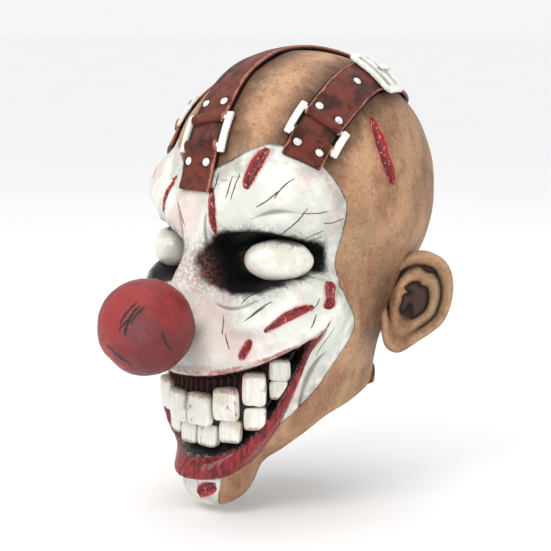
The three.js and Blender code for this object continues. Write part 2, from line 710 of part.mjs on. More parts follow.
// A buckle is a frame with a centre bar, so that it has two windows.
function buckle(laid, centre) {
  const half = buckleLength / 2;
  const bar = buckleBar / 2;
  const lengths = [-half, 2 * bar - half, -bar, bar, half - 2 * bar, half];
  const outer = buckleWidth / 2;
  const inner = outer - buckleBar;
  const across = [-outer, -inner, -inner / 3, inner / 3, inner, outer];
  const low = strapTop + 2 * seatClearance;
  const filled = (i, k) => i % 2 === 0 || k === 0 || k === 4;
  return plate(laid, centre, lengths, across, low, low + buckleThickness, filled);
}

function prong(laid, centre) {
  const low = strapTop + 4 * seatClearance + buckleThickness;
  const stations = [-buckleBar / 2, buckleLength / 4, buckleLength / 2].map((step) => ({
    length: centre + step,
    half: prongWidth / 2,
    bottom: low,
    top: low + prongThickness,
  }));
  return band(laid, stations, [-1, 1]);
}

const rivetProfile = [[0, 0], [1, 0], [0.8, 0.65], [0, 1]];
function rivetGeometry(laid, length, across) {
  const profile = rivetProfile.map(([r, h]) => new THREE.Vector2((r * rivetDiameter) / 2, h * rivetHeight));
  const geometry = new THREE.LatheGeometry(profile, 7);
  const base = onSkull(laid, length, across, strapTop + seatClearance);
  const out = normalAt(base);
  geometry.applyQuaternion(new THREE.Quaternion().setFromUnitVectors(new THREE.Vector3(0, 1, 0), out));
  return geometry.translate(base.x, base.y, base.z);
}

// One strap with its link, its rivets and, on a side strap, its buckle. A side strap is trimmed
// where it meets the centre strap at the back of the head.
function strapPieces(strap, trim) {
  const laid = layRoute(strap);
  const { name, linkAt, buckleAt } = strap;
  const half = strap.window / 2;
  const lowerBand = toSolid(band(laid, strapStations(0, linkAt - half, linkAt - half)));
  const lower = lowerBand.subtract(linkTunnel(laid, linkAt - barPlace(strap))).subtract(seatCutter);
  const upperBand = toSolid(band(laid, strapStations(linkAt + half, laid.total, linkAt + half)));
  let upper = upperBand.subtract(linkTunnel(laid, linkAt + barPlace(strap)));
  if (trim) upper = largest(upper.subtract(trim));
  const backing = band(laid, [-1, 1].map((end) => ({
    length: linkAt + end * (half - seatClearance),
    half: strapWidth / 2 - 1,
    bottom: strapLift,
    top: strapLift + backingThickness,
  })));
  const pieces = [
    [`strap_${name}_lower`, toGeometry(lower), "leather"],
    [`strap_${name}_upper`, toGeometry(upper), "leather"],
    [`strap_${name}_backing`, backing, "leather"],
    [`link_${name}`, link(laid, strap), "metal"],
  ];
  const addRivet = (label, length, across) => {
    pieces.push([`rivet_${name}_${label}`, rivetGeometry(laid, length, across), "metal"]);
  };
  const pairs = { lower: strap.pairsAt[0], upper: strap.pairsAt[1] };
  if (!buckleAt) pairs.back = laid.total - backRivetsAhead;
  for (const [row, length] of Object.entries(pairs)) {
    addRivet(`${row}_a`, length, -rivetSpread);
    addRivet(`${row}_b`, length, rivetSpread);
  }
  if (buckleAt) {
    pieces.push([`buckle_${name}`, buckle(laid, buckleAt), "metal"]);
    pieces.push([`prong_${name}`, prong(laid, buckleAt), "metal"]);
    addRivet("buckle", buckleAt - buckleRivetAhead, 0);
  }
  return pieces;
}

// The piece that is kept when a trim leaves a crumb on the far side.
function largest(solid) {
  return solid.decompose().reduce((best, one) => (one.volume() > best.volume() ? one : best));
}

// What the side straps stop against: the centre strap, a clearance wider.
function centreTrim() {
  const laid = layRoute(straps[0]);
  const stations = strapStations(0.45 * laid.total, laid.total, 0, 12).map((s) => ({
    length: s.length,
    half: s.half + seatClearance,
    bottom: -10,
    top: 20,
  }));
  return toSolid(band(laid, stations));
}

const materials = {
  latex: new THREE.MeshStandardMaterial({ color: 0xcfa683, roughness: 0.62, metalness: 0 }),
  nose: new THREE.MeshStandardMaterial({ color: 0xa51f22, roughness: 0.55, metalness: 0 }),
  eye: new THREE.MeshStandardMaterial({ color: 0xecebe2, roughness: 0.5, metalness: 0 }),
  tooth: new THREE.MeshStandardMaterial({ color: 0xe6e5da, roughness: 0.45, metalness: 0 }),
  leather: new THREE.MeshStandardMaterial({ color: 0x6a2f24, roughness: 0.6, metalness: 0 }),
  metal: new THREE.MeshStandardMaterial({ color: 0xe4e5e0, roughness: 0.4, metalness: 0.2 }),
};

const mask = new THREE.Group();
function add(name, geometry, material) {
  const mesh = new THREE.Mesh(geometry, materials[material]);
  mesh.name = name;
  mask.add(mesh);
}

add("mask_skin", maskSkin(), "latex");
add("nose_ball", noseBall(), "nose");
add("eyeball_left", eyeballGeometry(1), "eye");
add("eyeball_right", eyeballGeometry(-1), "eye");
for (const [name, geometry] of teeth()) add(name, geometry, "tooth");
for (const strap of straps) {
  const trim = strap.buckleAt ? centreTrim() : null;
  for (const [name, geometry, material] of strapPieces(strap, trim)) add(name, geometry, material);
}

// The origin is the seat inside the crown.
mask.position.set(0, 0, latexWall - eyeToCrown);

export default mask;
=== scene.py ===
# %% [markdown]
# # A clown mask of painted latex
# The mask is one hollow casting that goes over the whole head. Its face is painted, and its brow
# carries three leather straps with pale metal links and buckles. The lesson builds it in the order
# in which a maker would: the shape of the head, the relief of the face, the paint, and then the
# nose, eyes, teeth, straps and metal. All sizes are in millimetres until a mesh is made, and they
# are measured from the level of the eyes, as the head was laid out.

# %% Load the frame
import math

import bmesh
import bpy
import numpy as np
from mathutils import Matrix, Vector


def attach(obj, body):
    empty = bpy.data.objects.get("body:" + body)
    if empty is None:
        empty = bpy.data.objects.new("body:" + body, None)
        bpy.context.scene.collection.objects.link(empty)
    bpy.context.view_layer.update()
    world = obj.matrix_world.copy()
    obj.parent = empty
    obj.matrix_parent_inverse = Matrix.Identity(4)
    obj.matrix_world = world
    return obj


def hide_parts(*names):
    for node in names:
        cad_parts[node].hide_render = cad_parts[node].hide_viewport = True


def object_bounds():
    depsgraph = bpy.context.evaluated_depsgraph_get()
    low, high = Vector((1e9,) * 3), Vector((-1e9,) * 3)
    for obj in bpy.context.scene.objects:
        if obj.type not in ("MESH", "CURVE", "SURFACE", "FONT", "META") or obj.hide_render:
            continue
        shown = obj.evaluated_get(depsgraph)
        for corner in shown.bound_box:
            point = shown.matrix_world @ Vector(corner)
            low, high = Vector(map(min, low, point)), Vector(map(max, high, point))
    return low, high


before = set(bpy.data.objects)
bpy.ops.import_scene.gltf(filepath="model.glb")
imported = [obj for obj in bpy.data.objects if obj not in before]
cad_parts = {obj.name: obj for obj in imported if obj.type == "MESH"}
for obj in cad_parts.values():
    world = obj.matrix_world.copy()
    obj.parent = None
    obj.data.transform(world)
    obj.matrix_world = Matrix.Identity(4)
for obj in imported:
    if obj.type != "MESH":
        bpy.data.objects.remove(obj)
cad_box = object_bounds()
print("solids in the frame:", len(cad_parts))

# %% [markdown]
# ## The sizes that everything follows
# A head is described by three numbers: half its width, half its length, and the height from the
# eyes to the chin. The masses of the face are placed by shares of those three, so the face keeps
# its proportions. The skull has radii of its own, and is set back a little. The frame hangs from
# the inside of the crown, so a height in the frame is a height above the eyes minus `EYE_DROP`.

# %% Sizes
HALF_WIDTH, HALF_LENGTH, EYE_TO_CHIN = 88.0, 107.0, 193.0
EYE_TO_CROWN = 146.0
WALL = 2.5
CLEARANCE = 0.3
EYE_DROP = EYE_TO_CROWN - WALL
SKULL_RADII = np.array([92.0, 116.0, HALF_LENGTH])
SKULL_Z = EYE_TO_CROWN - SKULL_RADII[2]
SKULL_CENTRE = np.array([0, 12.0, SKULL_Z])
SHARES = np.array([HALF_WIDTH, HALF_LENGTH, EYE_TO_CHIN])
MM = 0.001


def to_frame(points):
    """Millimetres about the eye level, turned into metres in the frame."""
    return (np.asarray(points, float) - [0, 0, EYE_DROP]) * MM


def lerp(a, b, t):
    return a + (b - a) * t


def smoothstep(x, low, high):
    t = np.clip((x - low) / (high - low), 0, 1)
    return t * t * (3 - 2 * t)


def bump(x):
    """A hill that is 1 at the middle and falls smoothly to 0 at -1 and 1."""
    return np.where(np.abs(x) < 1, (1 - np.minimum(x * x, 1)) ** 2, 0)


print("head:", 2 * HALF_WIDTH, "x", 2 * HALF_LENGTH, "mm")

# %% [markdown]
# ## The head as blended masses
# A sculptor starts from masses: skull, face, muzzle, chin, cheekbones. Here each one is a distance
# function, and a smooth minimum melts neighbours into each other like clay. The surface of the head
# is where the blended distance is zero. Long forms such as the brows and the bridge of the nose are
# tapered rods.

# %% The masses
MASSES = [
    # name, centre (shares), radii (shares), blend, on both sides
    ("jaw hinge", (0, 0.05, -0.14), (0.84, 0.6, 0.42), 0.26, False),
    ("face", (0, -0.355, -0.259), (0.84, 0.71, 0.456), 0.26, False),
    ("muzzle", (0, -0.579, -0.518), (0.705, 0.598, 0.311), 0.2, False),
    ("chin", (0, -0.79, -0.862), (0.33, 0.255, 0.138), 0.2, False),
    ("cheekbone", (0.58, -0.62, -0.185), (0.33, 0.31, 0.125), 0.22, True),
]
RODS = [
    # name, from (shares), to (shares), radii (shares of half the width), blend, on both sides
    ("brow", (0.22, -0.83, 0.135), (0.7, -0.6, 0.215), (0.21, 0.25), 0.2, True),
    ("cheek", (0.45, -0.73, -0.2), (0.73, -0.45, -0.2), (0.29, 0.25), 0.22, True),
    ("bridge", (0, -0.85, 0.05), (0, -1.09, -0.2), (0.15, 0.19), 0.13, False),
    ("nostril wing", (0.2, -1.02, -0.31), (0.23, -1.0, -0.33), (0.14, 0.14), 0.1, True),
]
NECK_RADII = np.array([60.0, 59.0])
NECK_SET_BACK = 4.0


def smooth_min(a, b, k):
    return np.minimum(a, b) - np.maximum(k - np.abs(a - b), 0) ** 2 / (4 * k)


def smooth_max(a, b, k):
    return -smooth_min(-a, -b, k)


def ellipsoid_distance(p, centre, radii):
    q = (p - centre) / radii
    near = np.linalg.norm(q, axis=-1)
    slope = np.linalg.norm(q / radii, axis=-1)
    return near * (near - 1) / np.maximum(slope, 1e-9)


def rod_distance(p, start, end, radii):
    along = end - start
    t = np.clip((p - start) @ along / (along @ along), 0, 1)
    gap = np.linalg.norm(p - start - t[..., None] * along, axis=-1)
    return gap - lerp(radii[0], radii[1], t)


def head_distance(p):
    """Distance from the blended head, negative inside, without the mouth, sockets and ears."""
    both = p.copy()
    both[..., 0] = np.hypot(p[..., 0], 0.017 * HALF_WIDTH)
    d = ellipsoid_distance(p, SKULL_CENTRE, SKULL_RADII)
    neck = ellipsoid_distance(p[..., :2], np.array([0, NECK_SET_BACK]), NECK_RADII)
    d = smooth_min(d, smooth_max(neck, p[..., 2], 0.1 * EYE_TO_CHIN), 0.3 * HALF_WIDTH)
    for _, centre, radii, blend, mirrored in MASSES:
        mass = ellipsoid_distance(both if mirrored else p, centre * SHARES, radii * SHARES)
        d = smooth_min(d, mass, blend * HALF_WIDTH)
    for _, start, end, radii, blend, mirrored in RODS:
        radii = np.array(radii) * HALF_WIDTH
        rod = rod_distance(both if mirrored else p, start * SHARES, end * SHARES, radii)
        d = smooth_min(d, rod, blend * HALF_WIDTH)
    return d


def head_normal(p):
    step = 0.5
    sides = [head_distance(p + step * e) - head_distance(p - step * e) for e in np.eye(3)]
    n = np.stack(sides, axis=-1)
    return n / np.linalg.norm(n, axis=-1, keepdims=True)


def cast(origin, direction, reach=240.0):
    """Walks in along rays from outside, to the outermost point of the head on each."""
    t = np.full(np.broadcast(origin, direction).shape[:-1], reach)
    for _ in range(60):
        t = t - 0.75 * head_distance(origin + t[..., None] * direction)
    return origin + t[..., None] * direction


crown = cast(np.array([0, -0.05 * HALF_LENGTH, SKULL_Z]), np.array([0.0, 0, 1]))
print("crown is", round(float(crown[2]), 1), "mm above the eyes")

# %% [markdown]
# ## The relief of the face
# Sockets, lips and the mouth's hollow are too sharp to be melted in. They are drawn on charts, as
# on a map: an angle round the muzzle and a height. The relief tells how far the skin stands out
# from the masses or sinks into them.

# %% Sockets and mouth
SOCKET = dict(x=0.49, z=-0.012, rx=0.42, rz=0.125, depth=0.25, floor=0.45)
MOUTH_HALF_ANGLE = math.radians(63)
MOUTH_AXIS_Y = -0.19 * HALF_LENGTH
UPPER_LIP, LOWER_LIP, BITE, CORNER = 86.0, 152.0, 126.0, 56.0
MOUTH_DEPTH = 13.0
LOWER_LIP_WIDTH, UPPER_LIP_WIDTH = 17.0, 6.0
LOWER_LIP_RISE, UPPER_LIP_RISE = 9.0, 2.5
FACE_FADE = 1.35, 1.7  # turns in radians between which the relief of the face runs out


def socket_oval(p):
    """0 at the middle of a socket and 1 on its rim."""
    across = (np.abs(p[..., 0]) - SOCKET["x"] * HALF_WIDTH) / (SOCKET["rx"] * HALF_WIDTH)
    up = (p[..., 2] - SOCKET["z"] * EYE_TO_CHIN) / (SOCKET["rz"] * EYE_TO_CHIN)
    behind = smoothstep(p[..., 1], -0.45 * HALF_LENGTH, -0.25 * HALF_LENGTH)
    return np.hypot(across, up) + 3 * behind


def mouth_angle(p):
    return np.arctan2(p[..., 0], MOUTH_AXIS_Y - p[..., 1])


def mouth_share(angle):
    return np.minimum(np.abs(angle) / MOUTH_HALF_ANGLE, 1.6)


def lip_lines(angle):
    share = mouth_share(angle)
    upper = -lerp(UPPER_LIP, CORNER, share ** 2)
    lower = -lerp(LOWER_LIP, CORNER, share ** 2.4)
    bite = -lerp(BITE, CORNER, share ** 2.2)
    return upper, lower, bite


def mouth_edge(p):
    """Distance outside the edge of the mouth, and 1 where the lower lip is the nearer one."""
    angle = mouth_angle(p)
    share = mouth_share(angle)
    upper, lower, _ = lip_lines(angle)
    above = (p[..., 2] - upper) * (1 - 0.22 * share)
    below = (lower - p[..., 2]) * (1 - 0.42 * share)
    behind = 60 * smoothstep(np.abs(angle), *FACE_FADE)
    return smooth_max(above, below, 3) + behind, smoothstep(below - above, -6, 6)


def lip_width(p, lower):
    share = mouth_share(mouth_angle(p))
    return lerp(UPPER_LIP_WIDTH, lerp(LOWER_LIP_WIDTH, 6, share), lower)


def broad_relief(p):
    angle = mouth_angle(p)
    share = mouth_share(angle)
    gap, lower = mouth_edge(p)
    front = 1 - smoothstep(np.abs(angle), *FACE_FADE)
    width = lip_width(p, lower)
    rise = lerp(UPPER_LIP_RISE, lerp(LOWER_LIP_RISE, 2.5, share), lower)
    hollow = -MOUTH_DEPTH * smoothstep(-gap, -1, 6)
    lip = rise * bump((gap / width - 0.42) / 0.62)
    crease = -3 * lower * (1 - smoothstep(share, 0.3, 0.8)) * bump((gap - width - 5) / 6)
    fold = -5 * (1 - lower) * smoothstep(share, 0.12, 0.4) * bump((gap - lerp(26, 13, share)) / 8)
    sunk = 1 - smoothstep(socket_oval(p), SOCKET["floor"], 1)
    return -SOCKET["depth"] * HALF_WIDTH * sunk + front * (hollow + lip + crease + fold)


chart_test = np.array([[0.0, -120.0, -120.0]])
print("the mouth is sunk by", round(-float(broad_relief(chart_test)[0]), 1), "mm")

# %% [markdown]
# ## Cuts, wrinkles and scratches
# Each of these is a lens on the skin: a middle, a direction, a length and a width. One table serves
# twice. The relief uses it to open the cut in the mesh, and the paint uses the same lens to colour
# it, so paint and shape always agree. The places are given as an angle round the head from the
# front and a height above the eyes.

# %% The table of lenses
CUTS = [
    # angle, height, turn from upright, length, width, bow, depth
    (27, 64, 24, 34, 9, 2.0, 3.0),
    (10, 34, -14, 34, 6, -1.0, 2.0),
    (-17, 42, 16, 30, 6, 1.5, 2.0),
    (50, -44, 62, 40, 8.5, 5.0, 2.6),
    (70, -26, 10, 20, 12, 0.0, 1.5),
    (93, 74, -10, 52, 11, 2.0, 3.0),
    (-66, 92, 25, 44, 10, -2.0, 3.0),
    (-52, -40, -50, 36, 8, -4.0, 2.4),
    (9, -183, 60, 17, 10, 1.0, 1.5),
    (158, 34, 34, 46, 10, 3.0, 3.0),
    (-140, 70, -30, 34, 8, 2.0, 2.6),
    (30, -66, 30, 16, 6, 0.0, 1.4),
]
WRINKLES = [
    # angle, height, turn from upright, length, width, bow, depth
    (7, 20, 6, 26, 5, 1.0, 1.6),
    (-7, 20, -6, 26, 5, -1.0, 1.6),
    (14, 52, 70, 34, 6, 4.0, 1.3),
    (-14, 52, -70, 34, 6, 4.0, 1.3),
    (26, -30, 80, 36, 6, -5.0, 1.6),
    (-26, -30, -80, 36, 6, -5.0, 1.6),
    (38, 30, 86, 44, 6, 5.0, 1.2),
    (-38, 30, -86, 44, 6, 5.0, 1.2),
    (62, 10, 62, 24, 4.5, 0.0, 1.3),
    (64, -2, 88, 24, 4.5, 0.0, 1.3),
    (62, -14, 112, 22, 4.5, 0.0, 1.3),
    (-62, 10, -62, 24, 4.5, 0.0, 1.3),
    (-64, -2, -88, 24, 4.5, 0.0, 1.3),
    (-62, -14, -112, 22, 4.5, 0.0, 1.3),
    (66, -92, 24, 46, 9, 6.0, 1.8),
    (-66, -92, -24, 46, 9, -6.0, 1.8),
]
SCRATCH_GROUPS = [
    # angle, height, turn, length, width, how many, spread
    (16, 48, 10, 24, 1.1, 3, 9),
    (-10, 40, -12, 20, 1.0, 2, 8),
    (44, 52, 40, 30, 1.1, 3, 10),
    (60, 26, 70, 20, 0.9, 3, 8),
    (34, -34, 60, 22, 1.0, 3, 8),
    (58, -30, 20, 16, 0.9, 2, 8),
    (72, -60, 10, 26, 1.0, 2, 9),
    (20, -52, 5, 18, 0.9, 2, 6),
    (-40, -34, -60, 22, 1.0, 2, 8),
    (-46, 50, -40, 28, 1.1, 2, 10),
    (3, -172, 8, 18, 0.9, 2, 7),
]


LENS_FAN_Z, LENS_FAN_REACH = -110.0, 75.0  # below this height, lenses are aimed under the chin


def lens(angle, height, turn, length, width, bow):
    """The place of one lens on the head, with its way along, its way across and its way out."""
    a = math.radians(angle)
    way = np.array([math.sin(a), -math.cos(a), 0])
    place = cast(np.array([0, -0.2 * HALF_LENGTH * (height < 20), max(height, LENS_FAN_Z)]), way)
    if height < LENS_FAN_Z:
        foot = np.array([0, -0.37 * HALF_LENGTH, LENS_FAN_Z])
        drop = np.array([way[0], way[1], (height - LENS_FAN_Z) / LENS_FAN_REACH])
        place = cast(foot, drop / np.linalg.norm(drop))
    out = head_normal(place)
    up = np.array([0, 0, 1.0]) - out[2] * out
    up /= np.linalg.norm(up)
    side = np.cross(up, out)
    t = math.radians(turn)
    along = math.cos(t) * up + math.sin(t) * side
    return dict(centre=place, along=along, across=np.cross(out, along), out=out,
                half=length / 2, width=width / 2, bow=bow)


def lens_coordinate(p, mark):
    """0 on the middle line of a lens, 1 on its edge, and large away from it."""
    reach = p - mark["centre"]
    u = reach @ mark["along"] / mark["half"]
    v = reach @ mark["across"] - mark["bow"] * (1 - u * u)
    room = mark["width"] * np.sqrt(np.maximum(1 - u * u, 1e-4))
    off = 10 * (np.abs(u) > 1) + 10 * (np.abs(reach @ mark["out"]) > 22)
    return np.abs(v) / room + off


cuts = [lens(*row[:6]) for row in CUTS]
wrinkles = [lens(*row[:6]) for row in WRINKLES]
chance = np.random.default_rng(7)
scratches = []
for angle, height, turn, length, width, count, spread in SCRATCH_GROUPS:
    for _ in range(count):
        shift = chance.normal(0, spread, 2)
        bend = chance.normal(0, 1.5)
        longer = length * chance.uniform(0.6, 1.2)
        tilt = turn + chance.normal(0, 9)
        scratches.append(lens(angle + shift[0] / 1.6, height + shift[1], tilt, longer, width, bend))
print(len(cuts), "cuts,", len(wrinkles), "wrinkles,", len(scratches), "scratches")

# %% [markdown]
# ## Fine relief
# On top of the broad relief come the cuts with their swollen lips, the wrinkles, the ridged gums
# above the teeth, the cracks of the painted lower lip and a few slow waves that any poured casting
# has. The waves are sums of sines, so the mesh comes out the same each time.

# %% Waves and fine relief
def waves(p, size, seed, count=7):
    """A smooth random surface between about -1 and 1, with features of one size."""
    rng = np.random.default_rng(seed)
    total = np.zeros(p.shape[:-1])
    for _ in range(count):
        way = rng.normal(size=3)
        way *= rng.uniform(0.7, 1.4) * 2 * math.pi / (size * np.linalg.norm(way))
        total += np.sin(p @ way + rng.uniform(0, 2 * math.pi))
    return total / math.sqrt(count)


def fine_relief(p):
    gap, lower = mouth_edge(p)
    angle = mouth_angle(p)
    inside = smoothstep(-gap, 0, 5)
    ridges = np.sin(math.radians(360) * (np.degrees(angle) / 3.3) + 1.2 * waves(p, 26, 3))
    _, _, bite = lip_lines(angle)
    gums = inside * smoothstep(p[..., 2] - bite, 4, 12) * (1.3 * ridges)
    width = lip_width(p, lower)
    on_lip = lower * bump((gap / width - 0.45) / 0.6)
    cracks = -0.7 * on_lip * np.clip(np.sin(np.degrees(angle) * 1.5 + 1.5 * waves(p, 30, 5)), 0, 1)
    relief = gums + cracks + 0.35 * waves(p, 38, 11) * (1 - inside)
    for row, mark in zip(CUTS, cuts):
        e = lens_coordinate(p, mark)
        ragged = e * (1 + 0.14 * waves(p, 7, 17))
        relief += -row[6] * bump(ragged / 0.85) + 0.45 * row[6] * bump((ragged - 1.05) / 0.5)
    for row, mark in zip(WRINKLES, wrinkles):
        relief += -row[6] * bump(lens_coordinate(p, mark))
    return relief


wave_test = waves(np.random.default_rng(1).normal(size=(500, 3)) * 80, 38, 11)
print("waves reach", round(float(np.abs(wave_test).max()), 2))

# %% [markdown]
# ## The grid of rays
# The skin is a grid. Its columns are angles round the head, closer together at the face, where the
# detail is. Its rows fan out over the crown, run level down the face, and fan again under the chin
# to the rim of the neck. Each ray stops at the head, and the relief then moves that point along it.

# %% Rays
COLUMNS = 256
CROWN_ROWS, FACE_ROWS, CHIN_ROWS = 46, 150, 78
FAN_Z = -0.57 * EYE_TO_CHIN
RIM_BACK, RIM_FRONT = 88.0, 150.0


def axis_y(z):
    down = np.clip((SKULL_Z - z) / (SKULL_Z - FAN_Z), 0, 1)
    return -HALF_LENGTH * lerp(0.05, 0.37, down)


def column_angles(count, squeeze=0.5):
    j = np.arange(count) * 2 * math.pi / count
    return j - squeeze * np.sin(j)


def rim_drop(angle):
    """The downward lift of the ray from the foot of the axis to the neck's rim."""
    foot = axis_y(FAN_Z)
    dx, dy = np.sin(angle), -np.cos(angle)
    rx, ry = NECK_RADII
    a = (dx / rx) ** 2 + (dy / ry) ** 2
    b = 2 * dy * (foot - NECK_SET_BACK) / ry ** 2
    c = ((foot - NECK_SET_BACK) / ry) ** 2 - 1
    out = (-b + np.sqrt(b * b - 4 * a * c)) / (2 * a)
    forward = np.sqrt((1 + np.cos(angle)) / 2)
    return -np.arctan2(FAN_Z + lerp(RIM_BACK, RIM_FRONT, forward), out)


def ray_grid():
    angle = column_angles(COLUMNS)
    crown_lift = (math.pi / 2) * (1 - np.arange(1, CROWN_ROWS + 1) / CROWN_ROWS) ** 1.1
    lifts = [np.full(COLUMNS, lift) for lift in crown_lift]
    heights = [np.full(COLUMNS, SKULL_Z)] * CROWN_ROWS
    for z in np.linspace(SKULL_Z, FAN_Z, FACE_ROWS + 1)[1:]:
        heights.append(np.full(COLUMNS, z))
        lifts.append(np.zeros(COLUMNS))
    for share in np.linspace(0, 1, CHIN_ROWS + 1)[1:]:
        heights.append(np.full(COLUMNS, FAN_Z))
        lifts.append(rim_drop(angle) * share)
    height, lift = np.array(heights), np.array(lifts)
    origin = np.stack([np.zeros_like(height), axis_y(height), height], axis=-1)
    flat = np.cos(lift)
    way = np.stack([np.sin(angle) * flat, -np.cos(angle) * flat, np.sin(lift)], axis=-1)
    return origin, way


ray_origin, ray_way = ray_grid()
skin_hit = cast(ray_origin, ray_way)
skin_points = skin_hit + ray_way * (broad_relief(skin_hit) + fine_relief(skin_hit))[..., None]
print("skin grid:", skin_points.shape[:2], "lowest", round(float(skin_points[..., 2].min()), 1))

# %% [markdown]
# ## The colour chart of the face
# The white paint ends in a curved border that runs over the brow, past the eyes, round the cheeks
# and under the chin. It is drawn once, on the chart of angle and height, as a closed loop. Each
# point of the skin then stores how far inside that loop it lies. A shader can turn such a distance
# into a crisp painted edge at any zoom, which a painted vertex colour couldn't.

# %% The border of the white paint
CHART_SCALE = 1.6
WHITE_BORDER = [
    (0, 52), (12, 66), (33, 81), (55, 70), (70, 42), (73, 15), (74, -8), (80, -30), (92, -44),
    (99, -58), (93, -80), (80, -104), (60, -122), (38, -138), (22, -160), (15, -185), (0, -215),
]


def smooth_loop(points, steps=6):
    """A closed Catmull-Rom curve through the points."""
    p = np.array(points, float)
    before, after, beyond = np.roll(p, 1, 0), np.roll(p, -1, 0), np.roll(p, -2, 0)
    t = (np.arange(steps) / steps)[:, None, None]
    curve = (2 * p + (after - before) * t + (2 * before - 5 * p + 4 * after - beyond) * t ** 2
             + (3 * p - before - 3 * after + beyond) * t ** 3) / 2
    return curve.transpose(1, 0, 2).reshape(-1, 2)


def distance_inside(points, loop):
    """Distance to a closed loop, positive for points inside it."""
    near = np.full(points.shape[:-1], np.inf)
    inside = np.zeros(points.shape[:-1], bool)
    for a, b in zip(loop, np.roll(loop, -1, 0)):
        ab, ap = b - a, points - a
        t = np.clip((ap @ ab) / (ab @ ab), 0, 1)
        near = np.minimum(near, np.linalg.norm(ap - t[..., None] * ab, axis=-1))
        crosses = (a[1] > points[..., 1]) != (b[1] > points[..., 1])
        with np.errstate(divide="ignore", invalid="ignore"):
            reach = a[0] + (points[..., 1] - a[1]) * ab[0] / ab[1]
        inside ^= crosses & (points[..., 0] < reach)
    return np.where(inside, near, -near)


turns = column_angles(COLUMNS)
chart_across = CHART_SCALE * np.degrees(np.arctan2(np.sin(turns), np.cos(turns)))
chart = np.stack([np.broadcast_to(chart_across, skin_hit.shape[:2]), skin_hit[..., 2]], axis=-1)
border = [(a * CHART_SCALE, z) for a, z in WHITE_BORDER]
border += [(-a, z) for a, z in reversed(border[1:-1])]
white_inside = distance_inside(chart, smooth_loop(border))
print("painted white:", round(float((white_inside > 0).mean()) * 100), "% of the grid's points")

# %% [markdown]
# ## The latex skin
# A real mask is poured hollow: an outer face, an inner face one wall behind it, and a rim at the
# neck that joins them. The outer face is the fine grid. The inner face needs only every second
# row and column. Both go into one closed mesh, with its faces pointing out of the latex.

# %% Outer and inner faces
def grid_normals(points):
    down = np.gradient(points, axis=0)
    right = np.roll(points, -1, axis=1) - np.roll(points, 1, axis=1)
    n = np.cross(down, right)
    return n / np.maximum(np.linalg.norm(n, axis=-1, keepdims=True), 1e-9)


broad_points = skin_hit + ray_way * broad_relief(skin_hit)[..., None]
wall_normal = grid_normals(broad_points)
wall_normal[-6:, :, 2] = 0
wall_normal /= np.linalg.norm(wall_normal, axis=-1, keepdims=True)
inner_points = (skin_points - WALL * wall_normal)[1::2, ::2]
rim_points = skin_points[-1] - 0.5 * WALL * wall_normal[-1] - [0, 0, 0.8]
print("inner grid:", inner_points.shape[:2])


def grid_faces(rows, columns, start, outward=True):
    faces = []
    for i in range(rows - 1):
        for j in range(columns):
            k = (j + 1) % columns
            a, b = start + i * columns + j, start + (i + 1) * columns + j
            c, d = start + (i + 1) * columns + k, start + i * columns + k
            faces.append((a, b, c, d) if outward else (a, d, c, b))
    return faces


# %% The closed mesh of the skin
def set_point_values(mesh, **values):
    for name, data in values.items():
        mesh.attributes.new(name, "FLOAT", "POINT").data.foreach_set("value", np.ravel(data))


def make_mesh(name, points, faces, smooth=True):
    mesh = bpy.data.meshes.new(name)
    mesh.from_pydata(to_frame(points).tolist(), [], faces)
    mesh.polygons.foreach_set("use_smooth", [smooth] * len(mesh.polygons))
    return mesh


def show(name, mesh, *materials):
    piece = bpy.data.objects.new(name, mesh)
    bpy.context.scene.collection.objects.link(piece)
    for material in materials:
        mesh.materials.append(material)
    return piece


def skin_mesh():
    rows, half = len(skin_points), COLUMNS // 2
    top = crown + [0, 0, 0.2]
    parts = [top[None], skin_points.reshape(-1, 3), rim_points, inner_points.reshape(-1, 3),
             (top - [0, 0, WALL])[None]]
    starts = np.cumsum([0] + [len(part) for part in parts])
    faces = [(0, 1 + j, 1 + (j + 1) % COLUMNS) for j in range(COLUMNS)]
    faces += grid_faces(rows + 1, COLUMNS, 1)
    last = starts[3] + (len(inner_points) - 1) * half
    for j in range(COLUMNS):
        a, b = starts[2] + j, starts[2] + (j + 1) % COLUMNS
        c = last + (j // 2 if j % 2 == 0 else (j + 1) // 2 % half)
        faces.append((a, c, b))
        if j % 2 == 0:
            e = last + (j // 2 + 1) % half
            faces.append((b, c, e))
    outer_count = len(faces)
    faces += grid_faces(len(inner_points), half, starts[3], outward=False)
    faces += [(starts[4], starts[3] + (j + 1) % half, starts[3] + j) for j in range(half)]
    mesh = make_mesh("mask_skin_painted", np.concatenate(parts), faces)
    mesh.polygons.foreach_set("material_index",
                              [0] * outer_count + [1] * (len(faces) - outer_count))
    return mesh


skin = skin_mesh()
print("skin:", len(skin.vertices), "points,", sum(len(p.vertices) - 2 for p in skin.polygons),
      "triangles")

# %% [markdown]
# ## What each point of the skin knows
# The paint follows the shape, so every point stores where it is on the maps of the face: how far
# inside the white border, how deep in a socket, how far outside the edge of the mouth, how the fine
# relief moves it, and how much painted shade it takes. The paint reads these as attributes.

# %% Attributes of the skin
def over_parts(grid, elsewhere):
    """Values of the outer grid, carried to the rim, the inner face and the poles."""
    return np.concatenate([[elsewhere], grid.ravel(), grid[-1], grid[1::2, ::2].ravel(),
                           [elsewhere]])


